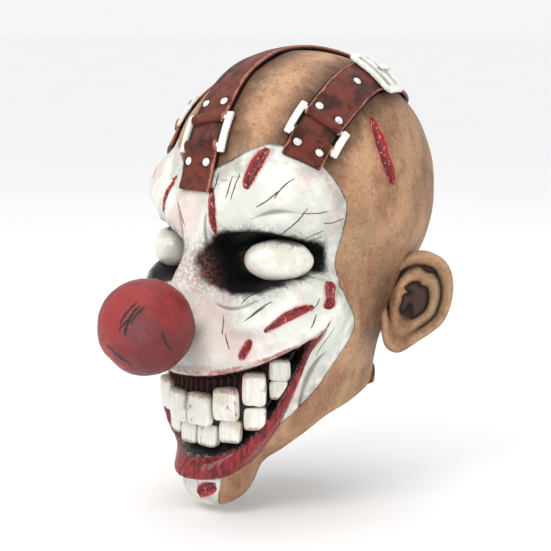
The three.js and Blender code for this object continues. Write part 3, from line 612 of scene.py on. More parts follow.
mouth_gap, lower_share = mouth_edge(skin_hit)
fine = fine_relief(skin_hit)
# The shade attribute is painted shade: darker low on the neck, at the nape, round the ears and
# towards the back of the head.
low = smoothstep(-skin_points[..., 2], 110, 190) * (1 - smoothstep(white_inside, -12, 4))
shade_at_nape = smoothstep(skin_points[..., 1], 10, 95) * smoothstep(-skin_points[..., 2], 10, 110)
EAR_ROOT = np.array([0.78, 0.25, -0.233]) * SHARES
from_ear = np.linalg.norm((np.abs(skin_points) - np.abs(EAR_ROOT) * [1, 0, 0]) * [1, 0, 0]
                          + (skin_points - EAR_ROOT) * [0, 1, 1], axis=-1)
shade_by_ear = 0.66 * (1 - smoothstep(from_ear, 16, 60)) * (1 - smoothstep(white_inside, -12, 2))
behind = 0.3 * smoothstep(skin_points[..., 1], -20, 80)
set_point_values(
    skin,
    white_edge=over_parts(white_inside, -60),
    socket_edge=over_parts(socket_oval(skin_hit), 4),
    mouth_gap=over_parts(mouth_gap, 90),
    lower_lip=over_parts(lower_share, 0),
    mouth_turn=over_parts(np.degrees(mouth_angle(skin_hit)), 0),
    fine_relief=over_parts(fine, 0),
    shade=over_parts(np.clip(0.3 * low + 0.4 * shade_at_nape + shade_by_ear + behind, 0, 0.72), 0.1),
)
print("attributes:", [a.name for a in skin.attributes if a.data_type == "FLOAT"])

# %% [markdown]
# ## Helpers for materials
# A material is a small network. These helpers add a node, feed its inputs and hand back its
# output, so the materials below read like a recipe. Colours are given as on a paint card, from 0
# to 255, and turned into the linear values that Blender works in.

# %% Small tools for shader trees
def paint(red, green, blue):
    share = np.array([red, green, blue]) / 255
    linear = np.where(share <= 0.04045, share / 12.92, ((share + 0.055) / 1.055) ** 2.4)
    return (*linear.tolist(), 1.0)


def feed(tree, socket, value):
    if isinstance(value, bpy.types.NodeSocket):
        tree.links.new(value, socket)
    elif value is not None:
        socket.default_value = value


def put(tree, kind, feeds=None, **settings):
    node = tree.nodes.new(kind)
    for key, value in settings.items():
        setattr(node, key, value)
    for key, value in (feeds or {}).items():
        feed(tree, node.inputs[key], value)
    return node


def calc(tree, operation, a, b=None, c=None):
    return put(tree, "ShaderNodeMath", {0: a, 1: b, 2: c}, operation=operation).outputs[0]


def turn(tree, operation, a, b=None, scale=None):
    node = put(tree, "ShaderNodeVectorMath", {0: a, 1: b}, operation=operation)
    if scale is not None:
        feed(tree, node.inputs["Scale"], scale)
    return node.outputs["Value" if operation in ("DOT_PRODUCT", "LENGTH") else "Vector"]


def blend_colours(tree, factor, a, b):
    return put(tree, "ShaderNodeMix", {0: factor, 6: a, 7: b}, data_type="RGBA").outputs[2]


def fade(tree, value, low, high, bottom=0.0, top=1.0):
    feeds = {0: value, 1: low, 2: high, 3: bottom, 4: top}
    return put(tree, "ShaderNodeMapRange", feeds, interpolation_type="SMOOTHSTEP").outputs[0]


def noise(tree, place, scale, detail=3.0, roughness=0.55, distortion=0.0):
    feeds = {"Vector": place, "Scale": scale, "Detail": detail, "Roughness": roughness,
             "Distortion": distortion}
    return put(tree, "ShaderNodeTexNoise", feeds).outputs[0]


def times(tree, a, b):
    return calc(tree, "MULTIPLY", a, b)


def plus(tree, a, b):
    return calc(tree, "ADD", a, b)


def tint(tree, colour, share, card):
    """Brushes a paint-card colour over another, where the share is above 0."""
    return blend_colours(tree, share, colour, paint(*card))


def way_from(tree, place, spot):
    """The way to each point of a piece from a spot, given in millimetres about the eyes."""
    return turn(tree, "SUBTRACT", place, tuple(to_frame(spot)))


def loosened(tree, place, scale, detail, reach):
    """A place that strays a little, so that painted edges are ragged."""
    stray = put(tree, "ShaderNodeTexNoise", {"Vector": place, "Scale": scale, "Detail": detail})
    centred = turn(tree, "SUBTRACT", stray.outputs["Color"], (0.5, 0.5, 0.5))
    return turn(tree, "ADD", place, turn(tree, "SCALE", centred, scale=reach))


def raise_surface(tree, shader, height, strength, distance):
    feeds = {"Height": height, "Strength": strength, "Distance": distance}
    feed(tree, shader.inputs["Normal"], put(tree, "ShaderNodeBump", feeds).outputs[0])


def value_of(tree, name):
    return put(tree, "ShaderNodeAttribute", attribute_name=name).outputs["Fac"]


def new_group(name, inputs, outputs):
    tree = bpy.data.node_groups.new(name, "ShaderNodeTree")
    for label, kind, value in inputs:
        socket = tree.interface.new_socket(label, in_out="INPUT", socket_type=kind)
        if value is not None:
            socket.default_value = value
    for label, kind in outputs:
        tree.interface.new_socket(label, in_out="OUTPUT", socket_type=kind)
    source = tree.nodes.new("NodeGroupInput")
    return tree, source.outputs, tree.nodes.new("NodeGroupOutput").inputs


def place_group(tree, group, feeds):
    node = put(tree, "ShaderNodeGroup", node_tree=group)
    for key, value in feeds.items():
        feed(tree, node.inputs[key], value)
    return node.outputs


def new_material(name):
    material = bpy.data.materials.new(name)
    material.use_nodes = True
    tree = material.node_tree
    shader = tree.nodes["Principled BSDF"]
    place = put(tree, "ShaderNodeTexCoord").outputs["Object"]
    return material, tree, shader, place


print("white paint in linear light:", [round(v, 3) for v in paint(235, 234, 228)[:3]])

# %% [markdown]
# ## Three shared effects
# *Surface grain* is the fine tooth of a cast or tanned surface, as a height for a bump and as a
# value that breaks up the roughness. *Mottle* lays two tones over each other in soft clouds, as an
# airbrush or an uneven dye does. *Painted lens* measures a cut, scratch or stroke: 0 on its middle
# line, 1 on its edge. Each is a group, built once and placed in every material that needs it.

# %% The groups
FLOAT, VECTOR, COLOUR = "NodeSocketFloat", "NodeSocketVector", "NodeSocketColor"

grain_group, given, result = new_group(
    "surface grain",
    [("Place", VECTOR, None), ("Size mm", FLOAT, 1.0), ("Pits", FLOAT, 0.4)],
    [("Height", FLOAT), ("Tone", FLOAT)])
per_metre = calc(grain_group, "DIVIDE", 1000.0, given["Size mm"])
tooth_noise = noise(grain_group, given["Place"], per_metre, 4.0, 0.6)
broad_noise = noise(grain_group, given["Place"], times(grain_group, per_metre, 0.13), 3.0, 0.5)
cells = put(grain_group, "ShaderNodeTexVoronoi", {"Vector": given["Place"], "Scale": per_metre},
            feature="DISTANCE_TO_EDGE").outputs["Distance"]
pits = times(grain_group, fade(grain_group, cells, 0.0, 0.22), given["Pits"])
feed(grain_group, result["Height"], plus(grain_group, tooth_noise, pits))
feed(grain_group, result["Tone"], calc(grain_group, "MULTIPLY_ADD", tooth_noise, 0.4, broad_noise))

mottle_group, given, result = new_group(
    "mottle",
    [("Place", VECTOR, None), ("Size mm", FLOAT, 30.0), ("Light", COLOUR, None),
     ("Dark", COLOUR, None), ("Amount", FLOAT, 0.7), ("Sharpness", FLOAT, 0.2)],
    [("Colour", COLOUR), ("Mask", FLOAT)])
clouds = noise(mottle_group, given["Place"], calc(mottle_group, "DIVIDE", 1000.0, given["Size mm"]),
               5.0, 0.6, 0.4)
low_end = calc(mottle_group, "MULTIPLY_ADD", given["Sharpness"], 0.25, 0.35)
high_end = calc(mottle_group, "MULTIPLY_ADD", given["Sharpness"], -0.1, 0.65)
cloud_mask = times(mottle_group, fade(mottle_group, clouds, low_end, high_end), given["Amount"])
feed(mottle_group, result["Colour"],
     blend_colours(mottle_group, cloud_mask, given["Light"], given["Dark"]))
feed(mottle_group, result["Mask"], cloud_mask)

lens_group, given, result = new_group(
    "painted lens",
    [("Place", VECTOR, None), ("Centre", VECTOR, None), ("Along", VECTOR, None),
     ("Across", VECTOR, None), ("Half length", FLOAT, 0.01), ("Half width", FLOAT, 0.002),
     ("Bow", FLOAT, 0.0), ("Reach", FLOAT, 0.02)],
    [("Edge", FLOAT)])
away = turn(lens_group, "SUBTRACT", given["Place"], given["Centre"])
u = calc(lens_group, "DIVIDE", turn(lens_group, "DOT_PRODUCT", away, given["Along"]),
         given["Half length"])
room = calc(lens_group, "MAXIMUM", calc(lens_group, "SUBTRACT", 1.0, times(lens_group, u, u)),
            0.0001)
v = calc(lens_group, "SUBTRACT", turn(lens_group, "DOT_PRODUCT", away, given["Across"]),
         times(lens_group, given["Bow"], room))
width_here = times(lens_group, given["Half width"], calc(lens_group, "POWER", room, 0.36))
edge = calc(lens_group, "DIVIDE", calc(lens_group, "ABSOLUTE", v), width_here)
beyond_tip = times(lens_group,
                   calc(lens_group, "GREATER_THAN", calc(lens_group, "ABSOLUTE", u), 1.0), 10.0)
far_side = calc(lens_group, "GREATER_THAN", turn(lens_group, "LENGTH", away), given["Reach"])
feed(lens_group, result["Edge"],
     plus(lens_group, plus(lens_group, edge, beyond_tip), times(lens_group, far_side, 10.0)))
print("groups:", [g.name for g in bpy.data.node_groups])


# %% The groups at work
def grain(tree, place, size, pits):
    return place_group(tree, grain_group, {"Place": place, "Size mm": size, "Pits": pits})


def mottle(tree, place, size, light, dark, amount, sharpness):
    feeds = {"Place": place, "Size mm": size, "Light": light, "Dark": dark, "Amount": amount}
    return place_group(tree, mottle_group, {**feeds, "Sharpness": sharpness})["Colour"]


def nearest_lens(tree, place, marks):
    """The smallest edge value of several lenses, so that they are painted as one."""
    nearest = None
    for mark in marks:
        edge_here = place_group(tree, lens_group, {
            "Place": place, "Centre": tuple(to_frame(mark["centre"])),
            "Along": tuple(mark["along"]), "Across": tuple(mark["across"]),
            "Half length": mark["half"] * MM, "Half width": mark["width"] * MM,
            "Bow": mark["bow"] * MM, "Reach": mark["half"] * MM * 1.3 + 0.004})["Edge"]
        nearest = edge_here if nearest is None else calc(tree, "MINIMUM", nearest, edge_here)
    return nearest


print("lenses to paint:", len(cuts) + len(scratches))

# %% [markdown]
# ## Painted latex
# The casting is tinted flesh colour, airbrushed with browns, and the face is then painted white by
# hand. Over that come the black sockets, the dark mouth with red gums, the crimson lower lip, the
# glossy red cuts and the fine black scratches. Some of the browns are painted shade: low on the
# head, at the nape and back, round and in the ears, beside the straps and in the creases. The cuts
# carry painted highlights. The order of the layers below is the order of the brushwork. Wet-looking
# cuts are smoother and carry a clear coat; everything else is dull.

# %% The painted side
latex, tree, shader, place = new_material("latex_with_paint")
loose_place = loosened(tree, place, 260.0, 3.0, 0.0012)
small = noise(tree, place, 420.0, 4.0, 0.65)
medium = noise(tree, place, 90.0, 4.0, 0.6)
broad = noise(tree, place, 24.0, 3.0, 0.55)

flesh = mottle(tree, place, 52.0, paint(196, 154, 120), paint(156, 112, 82), 0.9, 0.1)
drips = noise(tree, turn(tree, "MULTIPLY", place, (1.0, 1.0, 0.6)), 78.0, 5.0, 0.7)
flesh = tint(tree, flesh, fade(tree, drips, 0.46, 0.68, 0.0, 0.55), (122, 86, 62))
flesh = tint(tree, flesh, fade(tree, broad, 0.5, 0.68, 0.0, 0.42), (134, 128, 98))
flesh = tint(tree, flesh, fade(tree, small, 0.52, 0.68, 0.0, 0.42), (112, 66, 44))
flesh = tint(tree, flesh, fade(tree, small, 0.42, 0.32, 0.0, 0.3), (222, 184, 146))
# Painted shade: the shade attribute and a band beside each strap darken the flesh colour.
strap_gap = plus(tree, value_of(tree, "strap_gap"), fade(tree, medium, 0.25, 0.75, -4.0, 4.0))
shade = times(tree, value_of(tree, "shade"), fade(tree, medium, 0.2, 0.7, 0.7, 1.0))
shade = calc(tree, "MAXIMUM", shade, fade(tree, strap_gap, 24.0, 1.0, 0.0, 0.8))
flesh = tint(tree, flesh, shade, (64, 36, 26))
# Near-black painted shade where the shade attribute is strongest, mostly in the ear bowls.
flesh = tint(tree, flesh, fade(tree, value_of(tree, "shade"), 0.62, 0.95), (24, 13, 10))
# A thin painted shadow along the edges of the straps.
flesh = tint(tree, flesh, fade(tree, value_of(tree, "strap_gap"), 2.6, 0.4, 0.0, 0.9), (22, 13, 11))

# %% White paint over the flesh colour
white_edge = plus(tree, value_of(tree, "white_edge"), fade(tree, small, 0.3, 0.7, -0.25, 0.25))
white = mottle(tree, place, 30.0, paint(234, 235, 228), paint(196, 200, 190), 0.6, 0.3)
white = mottle(tree, turn(tree, "ADD", place, (0.3, 0.1, 0.7)), 40.0, white, paint(222, 186, 178),
               0.45, 0.6)
near_border = fade(tree, value_of(tree, "white_edge"), 26.0, 0.0, 0.0, 0.75)
white = tint(tree, white, times(tree, near_border, fade(tree, medium, 0.35, 0.65)), (158, 160, 148))
covered = fade(tree, white_edge, -0.5, 0.5)
worn = times(tree, fade(tree, small, 0.66, 0.72), fade(tree, broad, 0.45, 0.62))
covered = times(tree, covered, calc(tree, "SUBTRACT", 1.0, times(tree, worn, 0.7)))
colour = blend_colours(tree, covered, flesh, white)
off_line = calc(tree, "ABSOLUTE", calc(tree, "SUBTRACT", white_edge, 0.4))
line = times(tree, fade(tree, off_line, 1.1, 0.3), fade(tree, medium, 0.35, 0.6, 0.5, 0.85))
colour = tint(tree, colour, line, (58, 42, 36))
# Painted shade in the creases and hollows of the fine relief.
crease_shade = fade(tree, value_of(tree, "fine_relief"), -0.35, -1.5)
colour = tint(tree, colour, times(tree, crease_shade, 0.62), (92, 72, 62))

# %% Sockets, mouth and lips
socket = plus(tree, value_of(tree, "socket_edge"), fade(tree, medium, 0.25, 0.75, -0.05, 0.05))
smudge = fade(tree, socket, 1.35, 0.9, 0.0, 0.5)
colour = tint(tree, colour, times(tree, smudge, fade(tree, small, 0.35, 0.6)), (60, 54, 52))
black_socket = fade(tree, socket, 1.06, 0.88)
colour = tint(tree, colour, black_socket, (9, 8, 8))
gap = value_of(tree, "mouth_gap")
rough_gap = plus(tree, gap, fade(tree, small, 0.3, 0.7, -0.6, 0.6))
lower_lip = value_of(tree, "lower_lip")
mouth_turn = calc(tree, "ABSOLUTE", value_of(tree, "mouth_turn"))
lip_end = calc(tree, "MULTIPLY_ADD", fade(tree, mouth_turn, 63.0, 30.0), 9.0, 6.0)
on_lower = times(tree, fade(tree, lower_lip, 0.35, 0.6),
                 fade(tree, calc(tree, "SUBTRACT", rough_gap, lip_end), 1.2, -1.2))
streaks = noise(tree, turn(tree, "MULTIPLY", place, (1.0, 1.0, 0.16)), 300.0, 3.0, 0.6)
crimson = blend_colours(tree, fade(tree, streaks, 0.4, 0.62), paint(150, 42, 46), paint(96, 18, 26))
crimson = tint(tree, crimson, fade(tree, small, 0.6, 0.74, 0.0, 0.6), (206, 130, 124))
colour = blend_colours(tree, times(tree, on_lower, fade(tree, gap, -2.5, 0.0)), colour, crimson)
off_line = calc(tree, "ABSOLUTE", calc(tree, "SUBTRACT", rough_gap, 1.2))
upper_line = times(tree, fade(tree, off_line, 2.6, 1.2), fade(tree, lower_lip, 0.5, 0.3))
colour = tint(tree, colour, times(tree, upper_line, fade(tree, medium, 0.38, 0.6, 0.15, 0.85)),
              (168, 84, 82))
gum_tone = blend_colours(tree, fade(tree, value_of(tree, "fine_relief"), 0.0, 1.1), paint(5, 3, 4),
                         paint(72, 16, 17))
in_mouth = fade(tree, rough_gap, 0.2, -1.2)
colour = blend_colours(tree, in_mouth, colour, gum_tone)

# %% Cuts, scratches and overspray
cut_edge = nearest_lens(tree, loose_place, cuts)
cut_edge = plus(tree, cut_edge, fade(tree, medium, 0.25, 0.75, -0.12, 0.12))
colour = tint(tree, colour, fade(tree, cut_edge, 1.5, 1.06, 0.0, 0.5), (190, 92, 86))
colour = tint(tree, colour, fade(tree, cut_edge, 1.06, 0.96), (158, 16, 20))
core = fade(tree, plus(tree, cut_edge, fade(tree, medium, 0.3, 0.7, -0.2, 0.2)), 0.62, 0.3, 0.0,
            0.85)
colour = tint(tree, colour, core, (84, 8, 13))
# Painted highlights on the wet cuts.
painted_glints = times(tree, fade(tree, cut_edge, 0.95, 0.7), fade(tree, small, 0.58, 0.64, 0.0, 0.85))
colour = tint(tree, colour, painted_glints, (236, 158, 150))
scratch_edge = nearest_lens(tree, loose_place, scratches)
colour = tint(tree, colour, fade(tree, scratch_edge, 1.2, 0.8, 0.0, 0.9), (34, 28, 28))
bridge_near = fade(tree, turn(tree, "LENGTH", way_from(tree, place, [0, -128, -16])),
                   0.042, 0.012, 0.0, 0.5)
colour = tint(tree, colour, times(tree, bridge_near, fade(tree, small, 0.4, 0.62)), (196, 120, 116))
speck = put(tree, "ShaderNodeTexVoronoi", {"Vector": place, "Scale": 520.0}).outputs["Distance"]
specks = times(tree, fade(tree, speck, 0.2, 0.1), fade(tree, broad, 0.5, 0.66, 0.0, 0.5))
colour = tint(tree, colour, specks, (96, 84, 80))
feed(tree, shader.inputs["Base Color"], colour)

# %% The finish of the paint
wet = fade(tree, cut_edge, 1.0, 0.8)
wet = calc(tree, "MAXIMUM", wet, times(tree, on_lower, 0.6))
skin_grain = grain(tree, place, 1.3, 0.35)
roughness = fade(tree, skin_grain["Tone"], 0.45, 0.95, 0.44, 0.66)
feed(tree, shader.inputs["Roughness"],
     put(tree, "ShaderNodeMix", {0: wet, 2: roughness, 3: 0.22}).outputs[0])
feed(tree, shader.inputs["Coat Weight"], times(tree, wet, 0.6))
shader.inputs["Coat Roughness"].default_value = 0.12
shader.inputs["Specular IOR Level"].default_value = 0.2
stipple = calc(tree, "MULTIPLY_ADD", medium, 1.6, skin_grain["Height"])
raise_surface(tree, shader, stipple, 0.42, 0.0004)
print("nodes in the painted latex:", len(tree.nodes))

# %% [markdown]
# ## Bare latex inside
# The lining was never painted. It shows the milky tan of the rubber itself, with darker pools where
# the latex settled thicker, and a faint sheen.

# %% The bare side
bare, tree, shader, place = new_material("latex_bare")
pools = mottle(tree, place, 38.0, paint(196, 160, 122), paint(142, 104, 72), 0.8, 0.3)
bare_grain = grain(tree, place, 2.2, 0.15)
feed(tree, shader.inputs["Base Color"], pools)
feed(tree, shader.inputs["Roughness"], fade(tree, bare_grain["Tone"], 0.4, 1.0, 0.42, 0.62))
raise_surface(tree, shader, bare_grain["Height"], 0.3, 0.0005)
print("materials so far:", [m.name for m in (latex, bare)])

# %% [markdown]
# ## Sight holes
# The wearer looks out through an oval hole at the inner corner of each socket. The holes are cut
# with a Boolean modifier, because the grid of the skin doesn't line up with them.

# %% Cut the sight holes
HOLE_X, HOLE_Z, HOLE_WIDTH, HOLE_HEIGHT = 0.29, -0.018, 14.0, 11.0


def hole_cutter(side, sides=40):
    turns = np.arange(sides) * 2 * math.pi / sides
    x = side * HOLE_X * HALF_WIDTH + HOLE_WIDTH / 2 * np.cos(turns)
    z = HOLE_Z * EYE_TO_CHIN + HOLE_HEIGHT / 2 * np.sin(turns)
    front = np.stack([x, np.full(sides, -1.5 * HALF_LENGTH), z], axis=-1)
    return front, front + [0, HALF_LENGTH, 0]


def cutter_mesh():
    points, faces, count = [], [], 40
    for side in (1, -1):
        front, back = hole_cutter(side, count)
        start = len(points)
        points += [*front, *back]
        for k in range(count):
            m = (k + 1) % count
            faces.append((start + k, start + m, start + count + m, start + count + k)[::-1])
        faces.append(tuple(start + k for k in range(count)))
        faces.append(tuple(start + count + k for k in reversed(range(count))))
    return make_mesh("sight_hole_cutter", np.array(points), faces, smooth=False)


painted_skin = show("mask_skin_painted", skin, latex, bare)
cutter = show("sight_hole_cutter", cutter_mesh())
hole_cut = painted_skin.modifiers.new("sight holes", "BOOLEAN")
hole_cut.operation = "DIFFERENCE"
hole_cut.solver = "MANIFOLD"
hole_cut.object = cutter


def settle(piece):
    """Turns what a piece's modifiers make into its own plain mesh."""
    depsgraph = bpy.context.evaluated_depsgraph_get()
    made = bpy.data.meshes.new_from_object(piece.evaluated_get(depsgraph),
                                           preserve_all_data_layers=True, depsgraph=depsgraph)
    piece.modifiers.clear()
    piece.data = made
    return made


before_cut = len(skin.vertices)
cut_skin = settle(painted_skin)
bpy.data.objects.remove(cutter)
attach(painted_skin, "root")
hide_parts("mask_skin")
print("skin before and after the holes:", before_cut, len(cut_skin.vertices))

# %% [markdown]
# ## Ears
# An ear is a dished plate with a rolled rim, a groove inside the rim, an inner ridge and a deep
# bowl. It is built in polar rings: the outline gives a radius for each direction, and a profile
# gives the height of each ring. Small hills add the flap in front of the bowl and the ridge that
# runs into it. The lobe is flatter than the rest.

# %% The shape of an ear
EAR_HEIGHT, EAR_WIDTH, EAR_THICKNESS = 82.0, 56.0, 9.0
EAR_TURN, EAR_LEAN, EAR_TILT = math.radians(48), math.radians(10), math.radians(17)
EAR_SET_OUT = 0.42
# Rings from the bowl to the rim, and from the rim to the heel: share of the outline, height
EAR_PROFILE = [(0, -0.5), (0.16, -0.48), (0.32, -0.4), (0.44, 0.02), (0.53, 0.26), (0.61, 0.12),
               (0.7, -0.16), (0.78, 0.02), (0.87, 0.42), (0.94, 0.4), (1.0, 0.0)]
EAR_BACK = [(1.0, 0.0), (0.98, -0.35), (0.9, -0.62), (0.72, -1.0), (0.4, -1.2), (0.0, -1.25)]


def ear_outline(angle):
    up, out = np.sin(angle), np.cos(angle)
    rounded = np.sign(out) * np.abs(out) ** 0.8
    lobe = 1 - 0.42 * smoothstep(-up, 0, 1)
    wave = 1 + 0.02 * np.sin(3 * angle + 1)
    return EAR_WIDTH / 2 * rounded * lobe * wave, EAR_HEIGHT / 2 * up


def ear_basis():
    out = np.array([math.cos(EAR_TURN), math.sin(EAR_TURN), 0])
    up = np.array([0, math.sin(EAR_LEAN), math.cos(EAR_LEAN)])
    out = out - (out @ up) * up
    out /= np.linalg.norm(out)
    return out, up, np.cross(out, up)


def tilted(local):
    """The top of an ear leans away from the head."""
    c, s = math.cos(EAR_TILT), math.sin(EAR_TILT)
    return local @ np.array([[c, -s, 0], [s, c, 0], [0, 0, 1]])


def ear_rings(profile, steps, sides):
    share_at, height_at = np.array(profile).T
    param = np.linspace(0, len(profile) - 1, steps)
    share = np.interp(param, np.arange(len(profile)), share_at)
    height = np.interp(param, np.arange(len(profile)), height_at)
    kernel = np.array([1, 2, 1]) / 4
    for _ in range(3):
        share[1:-1] = np.convolve(share, kernel, "same")[1:-1]
        height[1:-1] = np.convolve(height, kernel, "same")[1:-1]
    angle = np.arange(sides) * 2 * math.pi / sides
    x, y = ear_outline(angle)
    flat = 1 - 0.75 * smoothstep(-np.sin(angle), 0.45, 0.95)
    share, height = share[:, None], height[:, None]
    rise = height * EAR_THICKNESS * np.where(height > -0.55, flat, 1)
    return np.stack([share * x, share * y, rise], axis=-1)


def ear_hills(grid):
    x, y = grid[..., 0], grid[..., 1]
    flap = 4.5 * bump(np.hypot((x + 12) / 7, (y + 3) / 9))
    ridge = 3.0 * bump((y - 5 - 0.25 * (x + 8)) / 4) * bump((x + 8) / 13)
    fork = 2.0 * bump((x - 3 - 0.35 * (y - 20)) / 4) * bump((y - 20) / 11)
    dent = -1.6 * bump(np.hypot((x - 2) / 9, (y - 27) / 6))
    grid[..., 2] += flap + ridge + fork + dent
    return grid


EAR_SIDES = 120
ear_front = ear_hills(ear_rings(EAR_PROFILE, 44, EAR_SIDES))[1:]
ear_behind = ear_rings(EAR_BACK, 20, EAR_SIDES)[1:-1]
print("ear rings:", len(ear_front), "in front,", len(ear_behind), "behind")


# %% Two ears
def ear_mesh(side):
    local = np.concatenate([[[0, 0, -0.5 * EAR_THICKNESS]], ear_front.reshape(-1, 3),
                            ear_behind.reshape(-1, 3), [[0, 0, -1.25 * EAR_THICKNESS]]])
    out, up, facing = ear_basis()
    centre = EAR_ROOT + EAR_SET_OUT * EAR_WIDTH * out * [1, 1, 0]
    points = centre + tilted(local) @ np.array([out, up, facing])
    points[:, 0] *= side
    points += (0.3 * waves(points, 17, 23)
               + 0.12 * waves(points, 6, 29))[:, None] * facing * [side, 1, 1]
    rows = len(ear_front) + len(ear_behind)
    faces = [(0, 1 + j, 1 + (j + 1) % EAR_SIDES) for j in range(EAR_SIDES)]
    faces += grid_faces(rows, EAR_SIDES, 1)
    last = 1 + (rows - 1) * EAR_SIDES
    faces += [(len(points) - 1, last + (j + 1) % EAR_SIDES, last + j) for j in range(EAR_SIDES)]
    if side < 0:
        faces = [face[::-1] for face in faces]
    mesh = make_mesh("ear_left" if side > 0 else "ear_right", points, faces)
    # The shade attribute is painted shade: darkest in the bowl and grooves, and towards the side
    # against the head.
    depth = np.where(local[:, 2] > -0.56 * EAR_THICKNESS, smoothstep(-local[:, 2], -1.6, 1.6), 0.25)
    head_side_shade = smoothstep(-local[:, 0], 12, 24) * 0.6
    far_off = {"white_edge": -60.0, "socket_edge": 4.0, "mouth_gap": 90.0, "lower_lip": 0.0,
               "mouth_turn": 0.0}
    set_point_values(mesh, **{key: np.full(len(points), value) for key, value in far_off.items()})
    set_point_values(mesh, fine_relief=np.clip(0.4 * local[:, 2], -2, 0),
                     shade=np.clip(0.97 * depth + head_side_shade, 0, 0.97))
    return mesh


ears = []
for side in (1, -1):
    mesh = ear_mesh(side)
    ear = show(mesh.name, mesh, latex)
    ears.append(ear)
    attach(ear, "root")
    print(mesh.name, len(mesh.polygons), "faces")

# %% [markdown]
# ## The ball nose
# The nose is a separate ball, seated on the bridge. It isn't quite round: the foam under its skin
# leaves slow lumps. Where the ball meets the face, its points are pushed out along the face's own
# normal, so that it sits on the skin with no overlap.

# %% The ball and its seat
NOSE_DIAMETER, NOSE_SINK, NOSE_Z = 70.0, 11.0, -47.0
bridge_y = cast(np.array([0, 0, NOSE_Z]), np.array([0.0, -1, 0]))[1]
NOSE_CENTRE = np.array([0, bridge_y + NOSE_SINK - NOSE_DIAMETER / 2, NOSE_Z])


def ball(centre, radii, segments, rings, turn_z=0.0):
    """Points and faces of an ellipsoid with closed poles, its axis upright."""
    lat = np.linspace(math.pi / 2, -math.pi / 2, rings + 1)[1:-1, None]
    lon = np.arange(segments) * 2 * math.pi / segments
    level = np.cos(lat)
    unit = np.stack(np.broadcast_arrays(level * np.cos(lon), level * np.sin(lon), np.sin(lat)),
                    axis=-1)
    unit = np.concatenate([[[0, 0, 1.0]], unit.reshape(-1, 3), [[0, 0, -1.0]]])
    c, s = math.cos(turn_z), math.sin(turn_z)
    points = centre + (unit * radii) @ np.array([[c, s, 0], [-s, c, 0], [0, 0, 1]])
    faces = [(0, 1 + j, 1 + (j + 1) % segments) for j in range(segments)]
    faces += grid_faces(rings - 1, segments, 1)
    last = 1 + (rings - 2) * segments
    faces += [(len(points) - 1, last + (j + 1) % segments, last + j) for j in range(segments)]
    return points, faces


def push_off(points, gap=0.4):
    """Moves points that lie in the head out to a small gap from it."""
    for _ in range(8):
        short = np.maximum(gap - head_distance(points), 0)
        if short.max() < 0.01:
            break
        points = points + short[:, None] * head_normal(points)
    return points


nose_points, nose_faces = ball(NOSE_CENTRE, np.full(3, NOSE_DIAMETER / 2), 144, 96)
nose_way = nose_points - NOSE_CENTRE
nose_way /= np.linalg.norm(nose_way, axis=1, keepdims=True)
nose_lumps = 0.45 * waves(nose_points, 30, 41) - 0.25 + 0.1 * waves(nose_points, 9, 43)
nose_points += nose_way * nose_lumps[:, None]
nose_points = push_off(nose_points)
print("nose centre", NOSE_CENTRE.round(1))

# %% [markdown]
# ## Red foam skin
# The ball is brushed with two reds. It is darker towards the wearer's lower left and back, which is
# painted shade, and darkest at the back where it sits on the face, a painted shadow. Two groups of
# black cuts cross it, with a bruised grey-purple smudge between them. The cuts use the same painted
# lens as the face.

# %% Red paint of the nose
def ball_lens(angle, height, turn_degrees, length, width, bow):
    a, h = math.radians(angle), math.radians(height)
    out = np.array([math.sin(a) * math.cos(h), -math.cos(a) * math.cos(h), math.sin(h)])
    up = np.array([0, 0, 1.0]) - out[2] * out
    up /= np.linalg.norm(up)
    t = math.radians(turn_degrees)
    along = math.cos(t) * up + math.sin(t) * np.cross(up, out)
    return dict(centre=NOSE_CENTRE + NOSE_DIAMETER / 2 * out, along=along,
                across=np.cross(out, along), out=out,
                half=length / 2, width=width / 2, bow=bow)


NOSE_CUTS = [
    # angle, lift, turn from upright, length, width, bow
    (24, 26, 30, 20, 1.4, 1.0),
    (30, 18, 24, 24, 1.7, 1.5),
    (37, 24, 36, 16, 1.2, 0.5),
    (20, 12, 40, 12, 1.0, 0.0),
    (4, -26, -50, 22, 1.5, -1.5),
    (10, -32, -44, 18, 1.6, -1.0),
    (0, -20, -60, 12, 1.0, 0.0),
    (-50, 10, 12, 20, 1.4, 1.0),
    (-58, 2, 20, 14, 1.1, 0.5),
    (72, -8, -30, 18, 1.4, 1.0),
]
red, tree, shader, place = new_material("nose_red")
loose_place = loosened(tree, place, 320.0, 2.0, 0.002)
small = noise(tree, place, 380.0, 4.0, 0.6)
colour = mottle(tree, place, 24.0, paint(152, 36, 36), paint(108, 19, 23), 0.8, 0.2)
# Painted shade towards the wearer's lower left and back.
low_left_shade = turn(tree, "DOT_PRODUCT", way_from(tree, place, NOSE_CENTRE), (14.0, 8.0, -20.0))
colour = tint(tree, colour, fade(tree, low_left_shade, 0.05, 0.75, 0.0, 0.7), (84, 14, 20))
bruise = fade(tree, turn(tree, "LENGTH", way_from(tree, place, NOSE_CENTRE + [21, -27, 4])),
              0.019, 0.004, 0.0, 0.75)
colour = tint(tree, colour, times(tree, bruise, fade(tree, small, 0.35, 0.6)), (98, 66, 78))
nose_edge = nearest_lens(tree, loose_place, [ball_lens(*row) for row in NOSE_CUTS])
colour = tint(tree, colour, fade(tree, nose_edge, 2.2, 1.1, 0.0, 0.6), (66, 12, 16))
colour = tint(tree, colour, fade(tree, nose_edge, 1.2, 0.8), (16, 10, 12))
